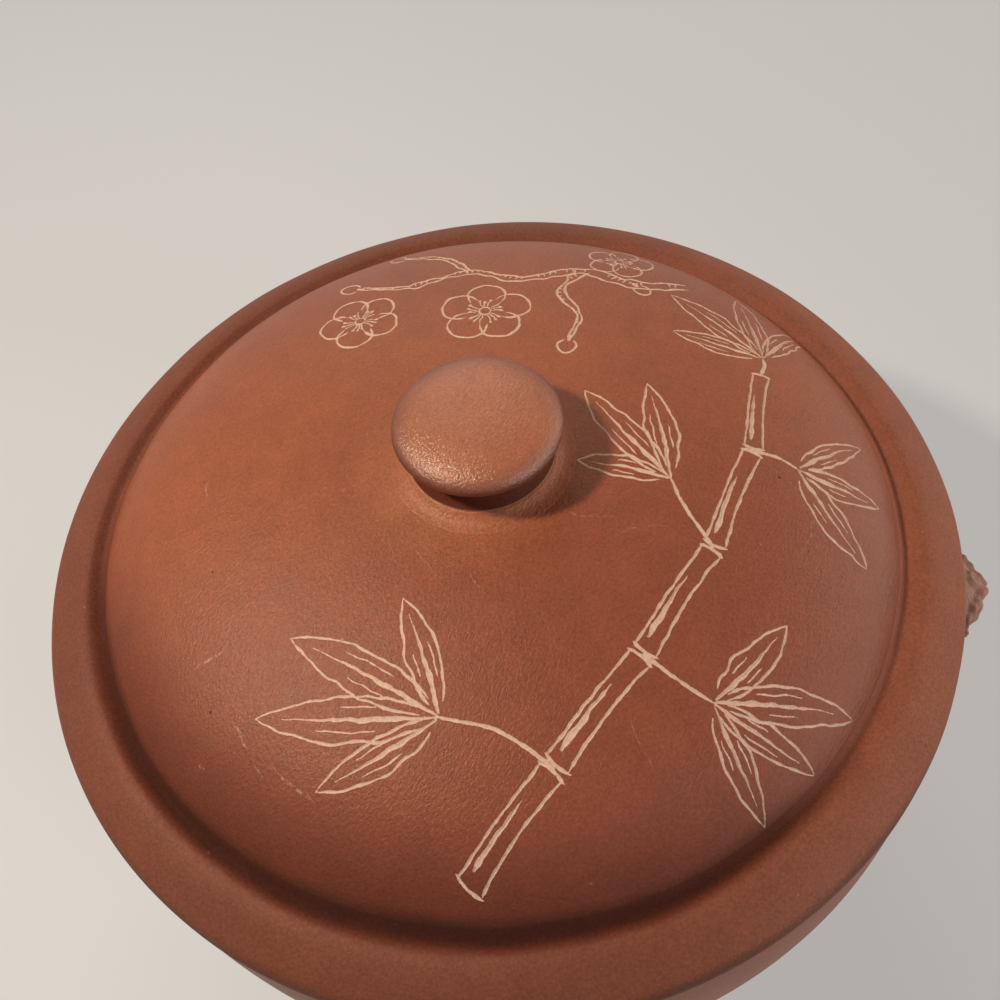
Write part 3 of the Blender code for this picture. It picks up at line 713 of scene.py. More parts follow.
def make_button(material):
    """The button: a flattened crown as part of a rounded square's curve, and an elliptical underside."""
    angle = np.linspace(math.pi / 2, 0, 70)
    power = 2 / BUTTON_SHOULDER
    waist = BUTTON_BOTTOM + BUTTON_UNDER_HEIGHT
    side, rise = BUTTON_RADIUS * np.cos(angle) ** power, (BUTTON_CROWN - waist) * np.sin(angle) ** power
    crown = pairs(side, waist + rise)
    crown[0, 0] = 0
    radii = (BUTTON_RADIUS - BUTTON_UNDERSIDE_RADIUS, BUTTON_UNDER_HEIGHT)
    under = arc((BUTTON_UNDERSIDE_RADIUS, waist), radii, 0, -90, 14)[1:]
    outline = np.vstack([softened(np.vstack([crown, under]), 0.35 * MM, 0.5 * MM), [(0, BUTTON_BOTTOM)]])

    def chipped(points):
        return points - chip_share(points)[:, None] * 0.55 * MM * np.array([*CHIP_OUTWARD, 0.8])

    piece = turned(
        "knob_button_top", outline, material, False, SMALL_ROUND, chipped,
        lambda points: (("chip", chip_share(points)),),
    )
    dress(piece, "lid", "knob_button")


# Shapes of the pot

def belly_radius(height):
    """Outside of the pot: part of a full oval below the widest line, and a slight draw-in above it."""
    below = np.clip((BELLY_HEIGHT - height) / (BELLY_HEIGHT - FLOOR_BOTTOM), 0, 1)
    swell = (1 - below ** BELLY_FULLNESS) ** (1 / BELLY_FULLNESS)
    above = np.clip((height - BELLY_HEIGHT) / (MOUTH_HEIGHT - BELLY_HEIGHT), 0, 1)
    drawn = (BELLY_RADIUS - MOUTH_OUTER_RADIUS) * above ** 2
    return BELLY_FOOT_RADIUS + (BELLY_RADIUS - BELLY_FOOT_RADIUS) * swell - drawn - 0.12 * MM


def chimney_radius(height, tip, root):
    """A trumpet: the radius grows from the tip to the root as a power of the way down."""
    share = np.clip((CHIMNEY_TIP - height) / (CHIMNEY_TIP - FLOOR_BOTTOM), 0, 1)
    return tip + (root - tip) * share ** CHIMNEY_FLARE


def finger_rings(height, size):
    """The shallow rings that a potter's fingers leave inside."""
    return size * np.sin(math.tau * height / (5.2 * MM) + 1.4 * np.sin(height / (9 * MM)))


def belly_side(heights):
    """The pot's outside at each of the heights."""
    return pairs(belly_radius(heights), heights)


def make_wall(material):
    """The belly: its outside, and its inside with a potter's finger rings."""
    outer = belly_side(np.linspace(MOUTH_SEAM, FLOOR_SEAM, 100))
    inner = outer - pairs(WALL - finger_rings(outer[:, 1], 0.12 * MM), 0)
    outline = np.vstack([outer, inner[::-1]])
    dress(turned("belly", outline, material), "pot", "pot_wall")


def make_mouth(material):
    """The lip of the pot: the belly's line up to a flat top with rounded edges."""
    side = belly_side(np.linspace(MOUTH_HEIGHT - 1.4 * MM, MOUTH_SEAM, 14))
    line = [
        (belly_radius(MOUTH_SEAM) - WALL, MOUTH_SEAM), (MOUTH_INNER_RADIUS, MOUTH_SEAM + 0.5 * WALL),
        (MOUTH_INNER_RADIUS, MOUTH_HEIGHT - 1.5 * MM), (MOUTH_INNER_RADIUS + 1.4 * MM, MOUTH_HEIGHT),
        (side[0, 0] - 1.4 * MM, MOUTH_HEIGHT),
    ]
    outline = softened(np.vstack([line, side]), 0.45 * MM, 0.4 * MM)
    dress(turned("mouth_lip", outline, material), "pot", "mouth_ring")


def make_floor(material):
    """The floor: a disc with a flat underside, a hole for the chimney and faint rings on its top."""
    outer = belly_side(np.linspace(FLOOR_SEAM, FLOOR_BOTTOM, 12))
    out = np.linspace(CHIMNEY_ROOT_RADIUS, outer[-1, 0], 60)
    top = pairs(out, FLOOR_TOP + 0.08 * MM * np.sin(math.tau * out / (6 * MM)))
    outline = np.vstack([outer, pairs(out[::-1], FLOOR_BOTTOM)[1:], top[:-1]])
    dress(turned("floor_disc", outline, material), "pot", "pot_floor")


def make_foot(material):
    """The foot ring: a tapered band with rounded lower edges and a flat underside."""
    bottom = FOOT_RADIUS - FOOT_TAPER
    line = [
        (FOOT_RADIUS + 1.2 * MM, FLOOR_BOTTOM), (FOOT_RADIUS - 0.2 * MM, FLOOR_BOTTOM - 1.4 * MM),
        (bottom + 0.1 * MM, 1.1 * MM), (bottom - 1.0 * MM, 0), (bottom - FOOT_WIDTH + 1.1 * MM, 0),
        (bottom - FOOT_WIDTH, 1.1 * MM), (FOOT_RADIUS - FOOT_WIDTH, FLOOR_BOTTOM),
    ]
    outline = softened(line, STEP, 0.5 * MM)
    outline[:, 1] = np.maximum(outline[:, 1], 0)
    dress(turned("foot", outline, material), "pot", "foot_ring")


def make_chimney(material):
    """The chimney: a trumpet with finger rings, its bore, and a rounded tip between them."""
    height = np.linspace(CHIMNEY_TIP - 1.2 * MM, FLOOR_BOTTOM, 110)
    outer = chimney_radius(height, CHIMNEY_TIP_RADIUS, CHIMNEY_ROOT_RADIUS) + finger_rings(height, 0.10 * MM)
    bore = chimney_radius(height, OUTLET_RADIUS, INLET_RADIUS) - finger_rings(height, 0.08 * MM)
    middle = (0.5 * (outer[0] + bore[0]), height[0])
    tip = arc(middle, (0.5 * (outer[0] - bore[0]), 1.2 * MM), 180, 0, 12)[1:-1]
    outline = np.vstack([tip, pairs(outer, height), pairs(bore, height)[::-1]])
    dress(turned("steam_chimney", outline, material, True, SMALL_ROUND), "pot", "chimney")


def make_coil(material):
    """The coil pressed into the corner between chimney and floor, with the dents of a fingertip."""
    root = chimney_radius(FLOOR_TOP, CHIMNEY_TIP_RADIUS, CHIMNEY_ROOT_RADIUS)
    height = BEAD_TOP - FLOOR_TOP
    cove = arc((root + BEAD_WIDTH, FLOOR_TOP + height), (BEAD_WIDTH + 0.3 * MM, height), 186, 268, 16)
    outline = np.vstack([cove, [(root - MM, FLOOR_TOP - 0.2 * MM)]])

    def dented(points):
        angle = np.arctan2(points[:, 1], points[:, 0])
        press = 0.25 * MM * (0.5 + 0.5 * np.sin(31 * angle + 2 * np.sin(5 * angle)))
        points[:, :2] *= (1 - press / np.hypot(points[:, 0], points[:, 1]))[:, None]
        return points

    dress(turned("chimney_coil", outline, material, True, ROUND, dented), "pot", "chimney_bead")


# The lugs: a beast's head in relief. A place on the face is given across and up from its middle, as
# shares of the way to its rim, and a height as a share of the head's half size.

def lump(s, t, across, up, wide, high, height, edge=3.0):
    """A rounded boss, or a dent: its height falls off with the power edge of the elliptical distance."""
    return height * np.exp(-(((s - across) / wide) ** 2 + ((t - up) / high) ** 2) ** (0.5 * edge))


def ridge(s, t, path, width, height, edge=3.0):
    """A rounded ridge along a line: its height falls off with the distance from the line's pieces."""
    path = np.asarray(path, float)
    away = np.full(s.shape, 9.0)
    for start, run in zip(path, np.diff(path, axis=0)):
        share = np.clip(((s - start[0]) * run[0] + (t - start[1]) * run[1]) / (run @ run), 0, 1)
        away = np.minimum(away, np.hypot(s - start[0] - share * run[0], t - start[1] - share * run[1]))
    return height * np.exp(-(away / width) ** edge)


def curl(s, t, across, up, size, height, hand=1, turns=1.6):
    """A button of mane: a round boss cut by a spiral furrow."""
    gap_s, gap_t = s - across, t - up
    reach = np.hypot(gap_s, gap_t) / size
    phase = (reach * turns - hand * np.arctan2(gap_t, gap_s) / math.tau) % 1.0
    furrow = np.exp(-((phase - 0.5) / 0.17) ** 2) * np.clip(reach / 0.25, 0, 1)
    return height * np.exp(-reach ** 4) * (1 - 0.30 * reach ** 2 - 0.34 * furrow)


# Ridges of the face as lines of places, the mane's curls as place and size, and the bosses and dents
# as place, half width, half height, height and, where it isn't 3, the power of the edge
BROW = ((0.07, 0.30), (0.17, 0.37), (0.36, 0.43), (0.52, 0.39), (0.60, 0.28))
EYELID = ((0.21, 0.13), (0.26, 0.21), (0.35, 0.245), (0.44, 0.21), (0.50, 0.12))
LIP = ((0.0, -0.325), (0.16, -0.375), (0.32, -0.345), (0.45, -0.40), (0.52, -0.52))
JAW = ((0.0, -0.635), (0.19, -0.615), (0.35, -0.545), (0.46, -0.46))
MANE = (
    (0.00, 0.88, 0.165), (0.31, 0.84, 0.145), (0.88, 0.42, 0.17), (0.95, 0.05, 0.17), (0.88, -0.32, 0.17),
    (0.68, -0.64, 0.17), (0.37, -0.87, 0.17), (0.00, -0.95, 0.17),
)
LUMPS = (
    # Nose, its wings and nostrils, and the wrinkles across its bridge
    (0.0, -0.10, 0.20, 0.12, 0.22, 4.0), (0.21, -0.15, 0.10, 0.09, 0.14), (0.13, -0.205, 0.055, 0.034, -0.13),
    (0.0, 0.06, 0.17, 0.018, -0.05), (0.0, 0.14, 0.17, 0.018, -0.05), (0.0, 0.22, 0.17, 0.018, -0.05),
    # Pupil, forehead with its pearl, ear and cheek
    (0.34, 0.115, 0.030, 0.030, -0.07), (0.0, 0.55, 0.62, 0.42, 0.10),
    (0.0, 0.57, 0.10, 0.125, 0.12, 4.0), (0.0, 0.57, 0.045, 0.07, -0.05),
    (0.60, 0.68, 0.165, 0.165, 0.17), (0.595, 0.66, 0.075, 0.075, -0.11, 2.5),
    (0.58, -0.10, 0.15, 0.15, 0.12),
    # Muzzle and the pits of its whiskers
    (0.22, -0.30, 0.20, 0.10, 0.14, 4.0), (0.20, -0.27, 0.018, 0.018, -0.05, 2.0),
    (0.29, -0.25, 0.018, 0.018, -0.05, 2.0), (0.25, -0.33, 0.018, 0.018, -0.05, 2.0),
    (0.34, -0.31, 0.018, 0.018, -0.05, 2.0),
    # Open mouth, upper and lower teeth, fang and chin
    (0.0, -0.495, 0.37, 0.085, -0.18, 6.0),
    (0.045, -0.445, 0.036, 0.042, 0.12, 5.0), (0.125, -0.445, 0.036, 0.042, 0.12, 5.0),
    (0.205, -0.445, 0.036, 0.042, 0.12, 5.0), (0.045, -0.560, 0.036, 0.028, 0.09, 5.0),
    (0.125, -0.560, 0.036, 0.028, 0.09, 5.0), (0.205, -0.560, 0.036, 0.028, 0.09, 5.0),
    (0.31, -0.475, 0.042, 0.095, 0.19), (0.0, -0.76, 0.19, 0.075, 0.09),
)


def beast_relief(s, t):
    """Height of the beast's head, seen from the front and mirrored from side to side. It adds up the
    face's bosses and dents, the ridges of nose, eyelids, brows, lips and jaw, and the mane's curls."""
    a = np.abs(s)
    relief = ridge(a, t, ((0.0, 0.34), (0.0, -0.02)), 0.135, 0.12)
    relief += ridge(a, t, BROW, 0.085, 0.12) * (1 + 0.10 * np.sin((a + 0.5 * t) * 44))
    relief += ridge(a, t, EYELID, 0.030, 0.09) + ridge(a, t, LIP, 0.050, 0.11) + ridge(a, t, JAW, 0.046, 0.10)
    for up in (-0.03, 0.03, 0.09):
        relief -= ridge(a, t, ((0.66, up - 0.16), (0.80, up - 0.12)), 0.018, 0.05, 2.0)
    eye = np.hypot((a - 0.35) / 0.11, (t - 0.13) / 0.09)
    relief += 0.16 * np.exp(-eye ** 4) - 0.06 * np.exp(-((eye - 1.22) / 0.16) ** 2)
    relief -= 0.08 * np.exp(-((a - 0.35) / 0.19) ** 4 - ((t - 0.12) / 0.15) ** 4)
    for place in LUMPS:
        relief += lump(a, t, *place)
    relief += curl(a, t, 0.70, 0.22, 0.11, 0.13, -1)
    for across, up, size in MANE:
        relief += curl(a, t, across, up, size, 0.115, 1 if up > 0 else -1)
    return relief


def make_lug(name, side, material):
    """The head: a ball whose radius grows by the relief, where a point's place in the relief is its
    angle from the front, as a share of the face's angle. The back is pressed flat into the belly, with
    a smear of slip round the rim."""
    polar = np.concatenate([np.linspace(0, math.radians(106), 190)[1:], np.radians((116, 130, 150))])[:, None]
    around = np.arange(SMALL_ROUND) * (math.tau / SMALL_ROUND)
    share = polar / math.radians(HEAD_FACE)
    swell = 1 + beast_relief(share * np.cos(around), share * np.sin(around)) * eased((1.34 - share) / 0.14)
    uneven = 1 + 0.5 * np.sin(9 * around) * np.sin(4 * around + 1)
    swell += 0.05 * np.exp(-((share - 1.30) / 0.07) ** 2) * uneven
    outward = np.cos(polar) * swell
    aside = np.sin(polar) * swell
    ball = [
        outward * np.where(outward > 0, LUG_HALF[0], LUG_BACK),
        aside * np.cos(around) * LUG_HALF[1], aside * np.sin(around) * LUG_HALF[2],
    ]
    front = (1 + float(beast_relief(np.zeros(1), np.zeros(1))[0])) * LUG_HALF[0]
    points = np.vstack([np.stack(ball, axis=-1).reshape(-1, 3), [[front, 0, 0], [-LUG_BACK, 0, 0]]])
    sag = LUG_SEAT - np.sqrt(np.maximum(LUG_SEAT ** 2 - points[:, 1] ** 2, 0))
    points[:, 0] += LUG_SEAT - sag * np.clip(1 - points[:, 0] / LUG_HALF[0], 0, 1)
    points[:, 0] -= max(0.0, points[:, 0].max() - LUG_OUTERMOST + 0.05 * MM)
    points[:, 2] += LUG_MIDDLE
    points[:, :2] *= side
    piece = new_piece(name + "_beast_head", points, skin_faces(len(polar), SMALL_ROUND), material)
    dress(piece, "pot", name)


# Clay

class Nodes:
    """Lays out the nodes of a material or of the world. Each method adds one."""

    def __init__(self, tree):
        self.tree = tree

    def add(self, kind, inputs=(), **settings):
        """A node with settings and inputs, each a value or another node's output."""
        node = self.tree.nodes.new(kind)
        for name, value in settings.items():
            setattr(node, name, value)
        for name, value in dict(inputs).items():
            if isinstance(value, bpy.types.NodeSocket):
                self.tree.links.new(value, node.inputs[name])
            else:
                node.inputs[name].default_value = value
        return node

    def noise(self, place, scale, detail=2.0, rough=0.5):
        inputs = {"Vector": place, "Scale": scale, "Detail": detail, "Roughness": rough}
        return self.add("ShaderNodeTexNoise", inputs).outputs["Fac"]

    def ranged(self, value, low, high, new_low=0.0, new_high=1.0, ease="LINEAR"):
        """The value carried from one range to another."""
        inputs = {"Value": value, "From Min": low, "From Max": high, "To Min": new_low, "To Max": new_high}
        return self.add("ShaderNodeMapRange", inputs, clamp=True, interpolation_type=ease).outputs["Result"]

    def number(self, operation, first, second):
        return self.add("ShaderNodeMath", {0: first, 1: second}, operation=operation).outputs[0]

    def times(self, first, second):
        return self.number("MULTIPLY", first, second)

    def plus(self, first, second):
        return self.number("ADD", first, second)

    def vector(self, operation, first, second, output):
        inputs = {0: first, 1: second}
        return self.add("ShaderNodeVectorMath", inputs, operation=operation).outputs[output]

    def mixed(self, share, first, second, blend="MIX"):
        """Two colours mixed by a share."""
        inputs = {0: share, 6: first, 7: second}
        for socket in (6, 7):
            if isinstance(inputs[socket], tuple):
                inputs[socket] = (*inputs[socket], 1.0)
        return self.add("ShaderNodeMix", inputs, data_type="RGBA", blend_type=blend).outputs[2]

    def field(self, name):
        return self.add("ShaderNodeAttribute", attribute_name=name).outputs["Fac"]


# A warm and a cool tone of each clay
LID_TONES = (0.368, 0.091, 0.031), (0.320, 0.080, 0.031)
BRIM_TONES = (0.215, 0.062, 0.031), (0.188, 0.056, 0.032)
KNOB_TONES = (0.395, 0.102, 0.035), (0.345, 0.089, 0.033)
# The stem's tones are dark to paint the shade under the button
STEM_PAINTED_SHADE_TONES = (0.122, 0.027, 0.011), (0.106, 0.024, 0.011)
WALL_TONES = (0.262, 0.080, 0.040), (0.220, 0.070, 0.040)
INNER_TONES = (0.330, 0.140, 0.080), (0.290, 0.120, 0.072)
FOOT_TONES = (0.340, 0.150, 0.090), (0.290, 0.128, 0.078)
LUG_TONES = (0.430, 0.205, 0.138), (0.350, 0.172, 0.120)

# Tones that lie over them: bare clay, specks, wear, painted shade and painted light
PALE_CUT = (0.86, 0.58, 0.42)
PALE_WEAR = (0.60, 0.34, 0.22)
DARK_SPECK = (0.070, 0.030, 0.020)
# Painted shade: a deep red that darkens the valley round the dome's foot, strongest on the near side, and the
# button's lower rim
DEEP_RED_PAINTED_SHADE = (0.120, 0.024, 0.012)
# Painted shade: a near-black that deepens the valley's floor on the near side
RECESS_PAINTED_SHADE = (0.050, 0.012, 0.007)
# Painted shade: the dome and the skirt darken towards the front side, away from the light
SHADE_BROWN = (0.272, 0.065, 0.028)
# Painted shade: the brim darkens towards its turned-down edge
TURNED_DOWN_SHADE = (0.110, 0.036, 0.022)
# Painted light: the brim is lighter and warmer on its right side
BRIM_PAINTED_LIGHT = (0.320, 0.096, 0.048)
# Painted light: the dome and the skirt are lighter round the left of the knob
PAINTED_LIGHT_TONE = (0.480, 0.152, 0.064)

# Headings in plan that a tone strengthens towards
PAINTED_LIGHT_SIDE = (-0.60, -0.80, 0.0)
NEAR_SIDE = (-0.26, -0.966, 0.0)
FRONT_SIDE = (0.26, -0.966, 0.0)
LIT_SIDE = (0.985, 0.174, 0.0)

# Strength and tint of the clay's gloss, and the heading and stretch of the strokes of burnishing
CLAY_GLOSS = 0.42
GLOSS_TONE = (1.0, 0.80, 0.66)
BURNISHED = math.radians(-27)
STROKE_STRETCH = 2.6


def new_material(name):
    """A material, a layout for its nodes and the inputs of its shader."""
    material = bpy.data.materials.new(name)
    material.use_nodes = True
    return material, Nodes(material.node_tree), material.node_tree.nodes["Principled BSDF"].inputs


def clay(name, tones, roughness, grain, fields=(), bands=(), gloss=CLAY_GLOSS):
    """Unglazed clay. A slow mottle runs between a warm and a cool tone, with a finer one in lightness;
    sand and the strokes of burnishing lift the surface, with scattered pale and dark specks. A band is
    a tone, its most, how much rougher it makes the clay, and ramps whose product is its share: each
    runs over the distance from the axis, over the height or along a direction. Fields are a piece's own
    values for its cuts, scuffs, pits and chip."""
    material, nodes, shader = new_material(name)
    shader["Specular IOR Level"].default_value = gloss
    shader["Specular Tint"].default_value = (*GLOSS_TONE, 1.0)
    place = nodes.add("ShaderNodeTexCoord").outputs["Object"]
    slow = nodes.ranged(nodes.noise(place, 17, 3.0, 0.55), 0.36, 0.64)
    colour = nodes.mixed(slow, *tones)
    uneven = nodes.ranged(slow, 0, 1, -MM, MM)
    rough = nodes.ranged(nodes.noise(place, 60, 3.0, 0.6), 0.3, 0.7, roughness - 0.02, roughness + 0.02)
    # Each band lays a tone over the clay's colour; the bands carry painted shade and painted light
    for tone, most, matt, ramps in bands:
        share = most
        for measure, start, end in ramps:
            if measure == "radius":
                flat = nodes.vector("MULTIPLY", place, (1.0, 1.0, 0.0), 0)
                reach = nodes.add("ShaderNodeVectorMath", {0: flat}, operation="LENGTH").outputs["Value"]
            elif measure == "height":
                reach = nodes.add("ShaderNodeSeparateXYZ", {0: place}).outputs["Z"]
            else:
                reach = nodes.vector("DOT_PRODUCT", place, measure, "Value")
            reach = nodes.plus(reach, nodes.times(uneven, min(1.0, abs(end - start) / (4 * MM))))
            low, high, ends = (start, end, (0.0, 1.0)) if start < end else (end, start, (1.0, 0.0))
            share = nodes.times(share, nodes.ranged(reach, low, high, *ends, "SMOOTHSTEP"))
        colour = nodes.mixed(share, colour, tone)
        rough = nodes.plus(rough, nodes.times(share, matt))
    mottle = nodes.ranged(nodes.noise(place, 120, 4.0, 0.6), 0.3, 0.7, 0.90, 1.08)
    light = nodes.times(mottle, nodes.ranged(nodes.noise(place, 1500, 2.0, 0.6), 0.3, 0.7, 0.80, 1.20))
    light = nodes.add("ShaderNodeCombineColor", {0: light, 1: light, 2: light}).outputs[0]
    colour = nodes.mixed(1.0, colour, light, "MULTIPLY")
    for scale, few, size, speck in ((900, 0.992, 0.30, PALE_WEAR), (430, 0.978, 0.17, DARK_SPECK)):
        cells = nodes.add("ShaderNodeTexVoronoi", {"Vector": place, "Scale": scale}, feature="F1").outputs
        chosen = nodes.add("ShaderNodeSeparateColor", {0: cells["Color"]}).outputs[0]
        dot = nodes.ranged(cells["Distance"], size * 0.6, size, 1.0, 0.0)
        share = nodes.times(nodes.times(nodes.ranged(chosen, few, few + 0.02), dot), 0.75)
        colour = nodes.mixed(share, colour, speck)
    if "cut" in fields:
        ragged = nodes.ranged(nodes.noise(place, 1700, 2.0, 0.7), 0.2, 0.8, -0.10, 0.10)
        inside = nodes.ranged(nodes.plus(nodes.field("cut"), ragged), -0.045, 0.045)
        gritty = nodes.ranged(nodes.noise(place, 1300, 3.0, 0.8), 0.35, 0.62, 0.72, 1.0)
        colour = nodes.mixed(nodes.times(inside, gritty), colour, PALE_CUT)
        rough = nodes.plus(rough, nodes.times(inside, 0.25))
    if "scuff" in fields:
        broken = nodes.times(nodes.ranged(nodes.noise(place, 900, 3.0, 0.8), 0.45, 0.62), 0.7)
        rubbed = nodes.ranged(nodes.field("scuff"), -0.05, 0.15)
        colour = nodes.mixed(nodes.times(rubbed, broken), colour, PALE_WEAR)
    if "pit" in fields:
        colour = nodes.mixed(nodes.ranged(nodes.field("pit"), 0.0, 0.35), colour, DARK_SPECK)
    if "chip" in fields:
        colour = nodes.mixed(nodes.ranged(nodes.field("chip"), 0.02, 0.16), colour, PALE_CUT)
    nodes.tree.links.new(colour, shader["Base Color"])
    nodes.tree.links.new(rough, shader["Roughness"])
    turn = {"Vector": place, "Rotation": (0, 0, BURNISHED), "Scale": (1.0, STROKE_STRETCH, 1.0)}
    stroked = nodes.add("ShaderNodeMapping", turn, vector_type="TEXTURE").outputs[0]
    heights = nodes.times(nodes.noise(stroked, 1900, 2.0, 0.6), 0.8)
    for scale, share in ((1500, 0.5), (3800, 0.4)):
        heights = nodes.plus(heights, nodes.times(nodes.noise(place, scale, 2.0, 0.6), share))
    bump = nodes.add("ShaderNodeBump", {"Height": heights, "Strength": 1.0, "Distance": grain})
    nodes.tree.links.new(bump.outputs[0], shader["Normal"])
    return material


# The stage: the camera's angles are in degrees, and so are the directions of the lights

CAMERA_AIM = Vector((0.55 * MM, 9.05 * MM, LID_EDGE))
CAMERA_DISTANCE = 257.1 * MM
CAMERA_DIRECTION = (11.60, 55.97)
CAMERA_ROLL = -8.57
CAMERA_LENS = 36.0
KEY_DIRECTION = (-76.0, 52.0)
KEY_DISTANCE = 0.46
KEY_SIZE = 0.026
KEY_STRENGTH = 2.65
KEY_TONE = (1.0, 0.91, 0.79)
FLOOR_HALF = 6.0
FLOOR_TONE = (0.43, 0.412, 0.387)
FLOOR_LIFT = 0.34
FLOOR_GLOW = (1.0, 0.97, 0.93)
ROOM_TONE = (0.72, 0.685, 0.63)
ROOM_LIGHT = 0.015
ROOM_LIGHT_TONE = (0.90, 0.93, 1.0)


def direction(azimuth, elevation):
    """A unit vector from the object: azimuth 0 points to -Y and 90 to +X."""
    a, e = math.radians(azimuth), math.radians(elevation)
    return Vector((math.sin(a) * math.cos(e), -math.cos(a) * math.cos(e), math.sin(e)))


def make_camera():
    """The camera that was fitted to the photograph's outlines."""
    data = bpy.data.cameras.new("camera")
    data.lens = data.sensor_width = CAMERA_LENS
    data.clip_start = 0.01
    camera = placed("camera", data)
    back = direction(*CAMERA_DIRECTION)
    facing = back.to_track_quat("Z", "Y").to_matrix().to_4x4()
    roll = Matrix.Rotation(math.radians(CAMERA_ROLL), 4, "Z")
    camera.matrix_world = Matrix.Translation(CAMERA_AIM + back * CAMERA_DISTANCE) @ facing @ roll
    bpy.context.scene.camera = camera


def make_lamps():
    """A warm key lamp near the pot on its left, and broad far lights: the ceiling behind, the wall at
    the right and a cool window. Each far one has its direction, spread, strength and colour."""
    data = bpy.data.lights.new("key", "POINT")
    data.energy = KEY_STRENGTH * 4 * math.pi * KEY_DISTANCE ** 2
    data.shadow_soft_size = KEY_SIZE
    data.color = KEY_TONE
    placed("key", data).location = Vector((0, 0, BUTTON_BOTTOM)) + direction(*KEY_DIRECTION) * KEY_DISTANCE
    for name, azimuth, elevation, spread, strength, colour in (
        ("ceiling", -165.0, 36.0, 30.0, 0.44, (1.0, 0.95, 0.88)),
        ("wall", 112.0, 10.0, 46.0, 1.25, (1.0, 0.90, 0.80)),
        ("window", 62.0, 15.0, 24.0, 1.20, (0.84, 0.90, 1.0)),
    ):
        data = bpy.data.lights.new(name, "SUN")
        data.energy = strength
        data.angle = math.radians(spread)
        data.color = colour
        facing = direction(azimuth, elevation).to_track_quat("Z", "Y")
        placed(name, data).matrix_world = facing.to_matrix().to_4x4()


def seen_directly(nodes):
    """1 for a ray that comes from the camera, or from it by a gloss or through glass, and otherwise 0."""
    path = nodes.add("ShaderNodeLightPath").outputs
    seen = nodes.number("MAXIMUM", path["Is Camera Ray"], path["Is Glossy Ray"])
    return nodes.number("MAXIMUM", seen, path["Is Transmission Ray"])


def make_floor_and_room():
    """A plain pale floor, and a sky that lights softly and looks pale to the camera and in reflections."""
    material, nodes, shader = new_material("floor")
    shader["Base Color"].default_value = (*FLOOR_TONE, 1.0)
    shader["Roughness"].default_value = 0.8
    shader["Emission Color"].default_value = (*FLOOR_GLOW, 1.0)
    nodes.tree.links.new(nodes.times(seen_directly(nodes), FLOOR_LIFT), shader["Emission Strength"])
    mesh = bpy.data.meshes.new("floor")
    corners = [(x * FLOOR_HALF, y * FLOOR_HALF, 0) for x, y in ((-1, -1), (1, -1), (1, 1), (-1, 1))]
    mesh.from_pydata(corners, [], [(0, 1, 2, 3)])
    mesh.materials.append(material)
    placed("floor", mesh)
    world = bpy.context.scene.world = bpy.data.worlds.new("room")
    world.use_nodes = True
    nodes = Nodes(world.node_tree)
    nodes.tree.nodes.clear()
    light = nodes.add("ShaderNodeBackground", {"Color": (*ROOM_LIGHT_TONE, 1.0), "Strength": ROOM_LIGHT})
    seen = nodes.add("ShaderNodeBackground", {"Color": (*ROOM_TONE, 1.0), "Strength": 1.0})
    shown = {0: seen_directly(nodes), 1: light.outputs[0], 2: seen.outputs[0]}
    mix = nodes.add("ShaderNodeMixShader", shown)
    nodes.add("ShaderNodeOutputWorld", {"Surface": mix.outputs[0]})


def from_crease(*offsets):
    """Two ramps over the distance from the axis, given in millimetres from the crease."""
    reach = [CREASE_RADIUS + offset * MM for offset in offsets]
    return ("radius", *reach[:2]), ("radius", *reach[2:])


def from_height(base, start, end):
    return "height", base + start * MM, base + end * MM


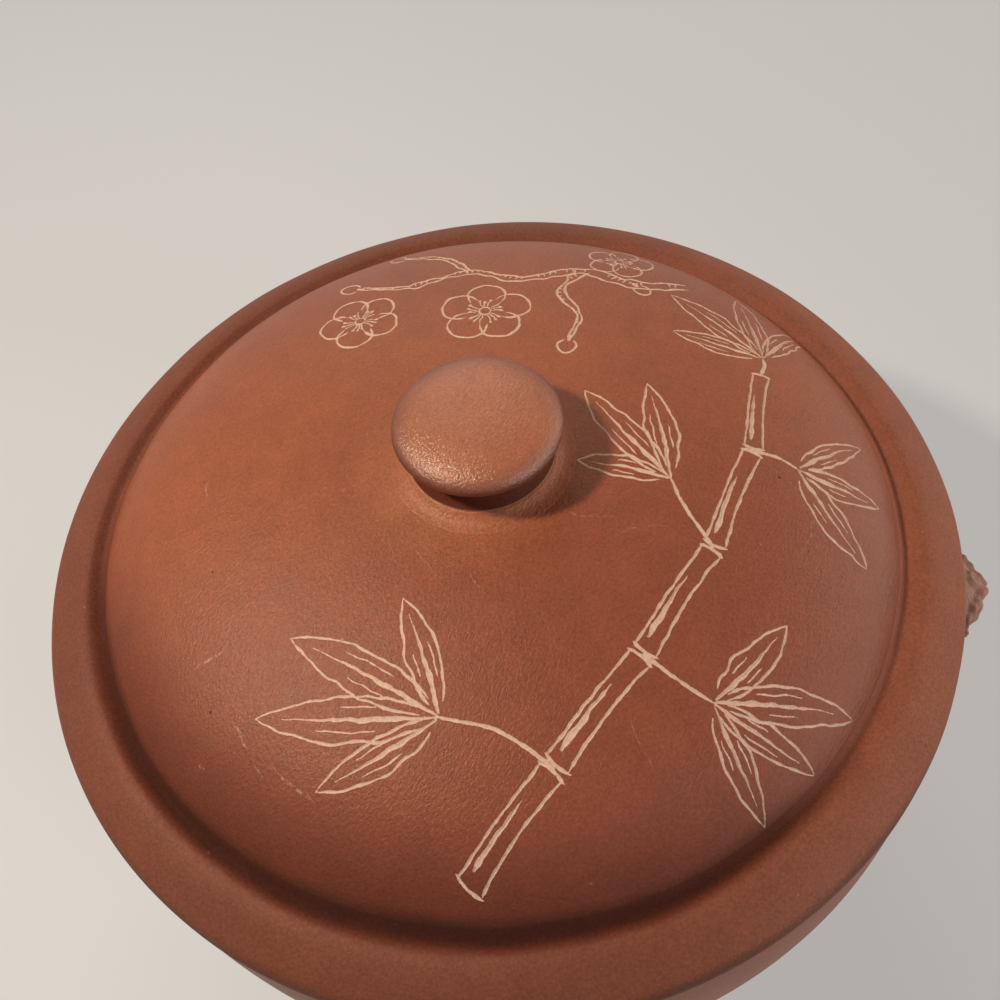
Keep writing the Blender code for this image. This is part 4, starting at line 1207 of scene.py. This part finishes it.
def main():
    # Painted shade in the valley between dome and brim, growing towards the near side
    valley_painted_shade = (
        (DEEP_RED_PAINTED_SHADE, 0.80, 0.5, (*from_crease(-24, -3, 3.2, 1), (NEAR_SIDE, 20 * MM, 80 * MM))),
        (RECESS_PAINTED_SHADE, 0.85, 0.3, (*from_crease(-4.4, -1.4, 1.8, 0), (NEAR_SIDE, 15 * MM, 80 * MM))),
    )
    # How far from the knob the painted light on its left side reaches
    painted_light_ramp = ("radius", PAD_RADIUS + 12 * MM, PAD_RADIUS - 4 * MM)
    # Painted shade darkens the dome and skirt towards the front; painted light lightens them round the left
    # of the knob
    cap_painted_shade_and_light = (
        (SHADE_BROWN, 1.0, 0.0, ((FRONT_SIDE, -20 * MM, 45 * MM),)),
        (PAINTED_LIGHT_TONE, 0.75, 0.0, (painted_light_ramp, (PAINTED_LIGHT_SIDE, -8 * MM, 22 * MM))),
    )
    # The brim: painted light on its right side, painted shade in the valley and on its turned-down edge
    brim_painted_light_and_shade = (
        (BRIM_PAINTED_LIGHT, 1.0, 0.0, ((LIT_SIDE, 10 * MM, 100 * MM),)),
        *valley_painted_shade,
        # Painted shade on the turned-down edge
        (TURNED_DOWN_SHADE, 0.8, 0.1, (from_height(LID_EDGE, 3.4, 0.4),)),
    )
    # Painted shade on the button's lower rim and underside
    rim_shade = ((DEEP_RED_PAINTED_SHADE, 0.85, 0.15, (from_height(BUTTON_BOTTOM, 6.4, 2.8),)),)
    stem_worn = ((PALE_WEAR, 0.55, 0.0, (from_height(PAD_TOP, 0.55, 0.2),)),)
    dome_fields = ("cut", "scuff", "pit")
    dome_clay = clay("burnished_lid_clay", LID_TONES, 0.36, 0.22 * MM, dome_fields, cap_painted_shade_and_light + valley_painted_shade)
    skirt_clay = clay("burnished_pad_clay", LID_TONES, 0.36, 0.20 * MM, (), cap_painted_shade_and_light)
    brim_clay = clay("burnished_brim_clay", BRIM_TONES, 0.60, 0.14 * MM, (), brim_painted_light_and_shade, 0.30)
    knob_clay = clay("handled_knob_clay_painted_rim_shade", KNOB_TONES, 0.25, 0.22 * MM, ("chip",), rim_shade, 1.0)
    stem_clay = clay("shaded_stem_clay", STEM_PAINTED_SHADE_TONES, 0.60, 0.08 * MM, (), stem_worn, 0.12)
    wall_clay = clay("burnished_wall_clay", WALL_TONES, 0.48, 0.10 * MM)
    inner_clay = clay("raw_inner_clay", INNER_TONES, 0.72, 0.12 * MM)
    foot_clay = clay("scraped_foot_clay", FOOT_TONES, 0.78, 0.12 * MM)
    lug_clay = clay("pressed_lug_clay", LUG_TONES, 0.62, 0.10 * MM)
    for make, material in (
        (make_dome, dome_clay), (make_brim, brim_clay), (make_flange, inner_clay), (make_skirt, skirt_clay),
        (make_stem, stem_clay), (make_button, knob_clay), (make_wall, wall_clay), (make_mouth, wall_clay),
        (make_floor, inner_clay), (make_foot, foot_clay), (make_chimney, inner_clay), (make_coil, inner_clay),
    ):
        make(material)
    make_lug("lug_right", 1, lug_clay)
    make_lug("lug_left", -1, lug_clay)
    make_camera()
    make_lamps()
    make_floor_and_room()
    bpy.context.scene.view_settings.view_transform = "Standard"


main()
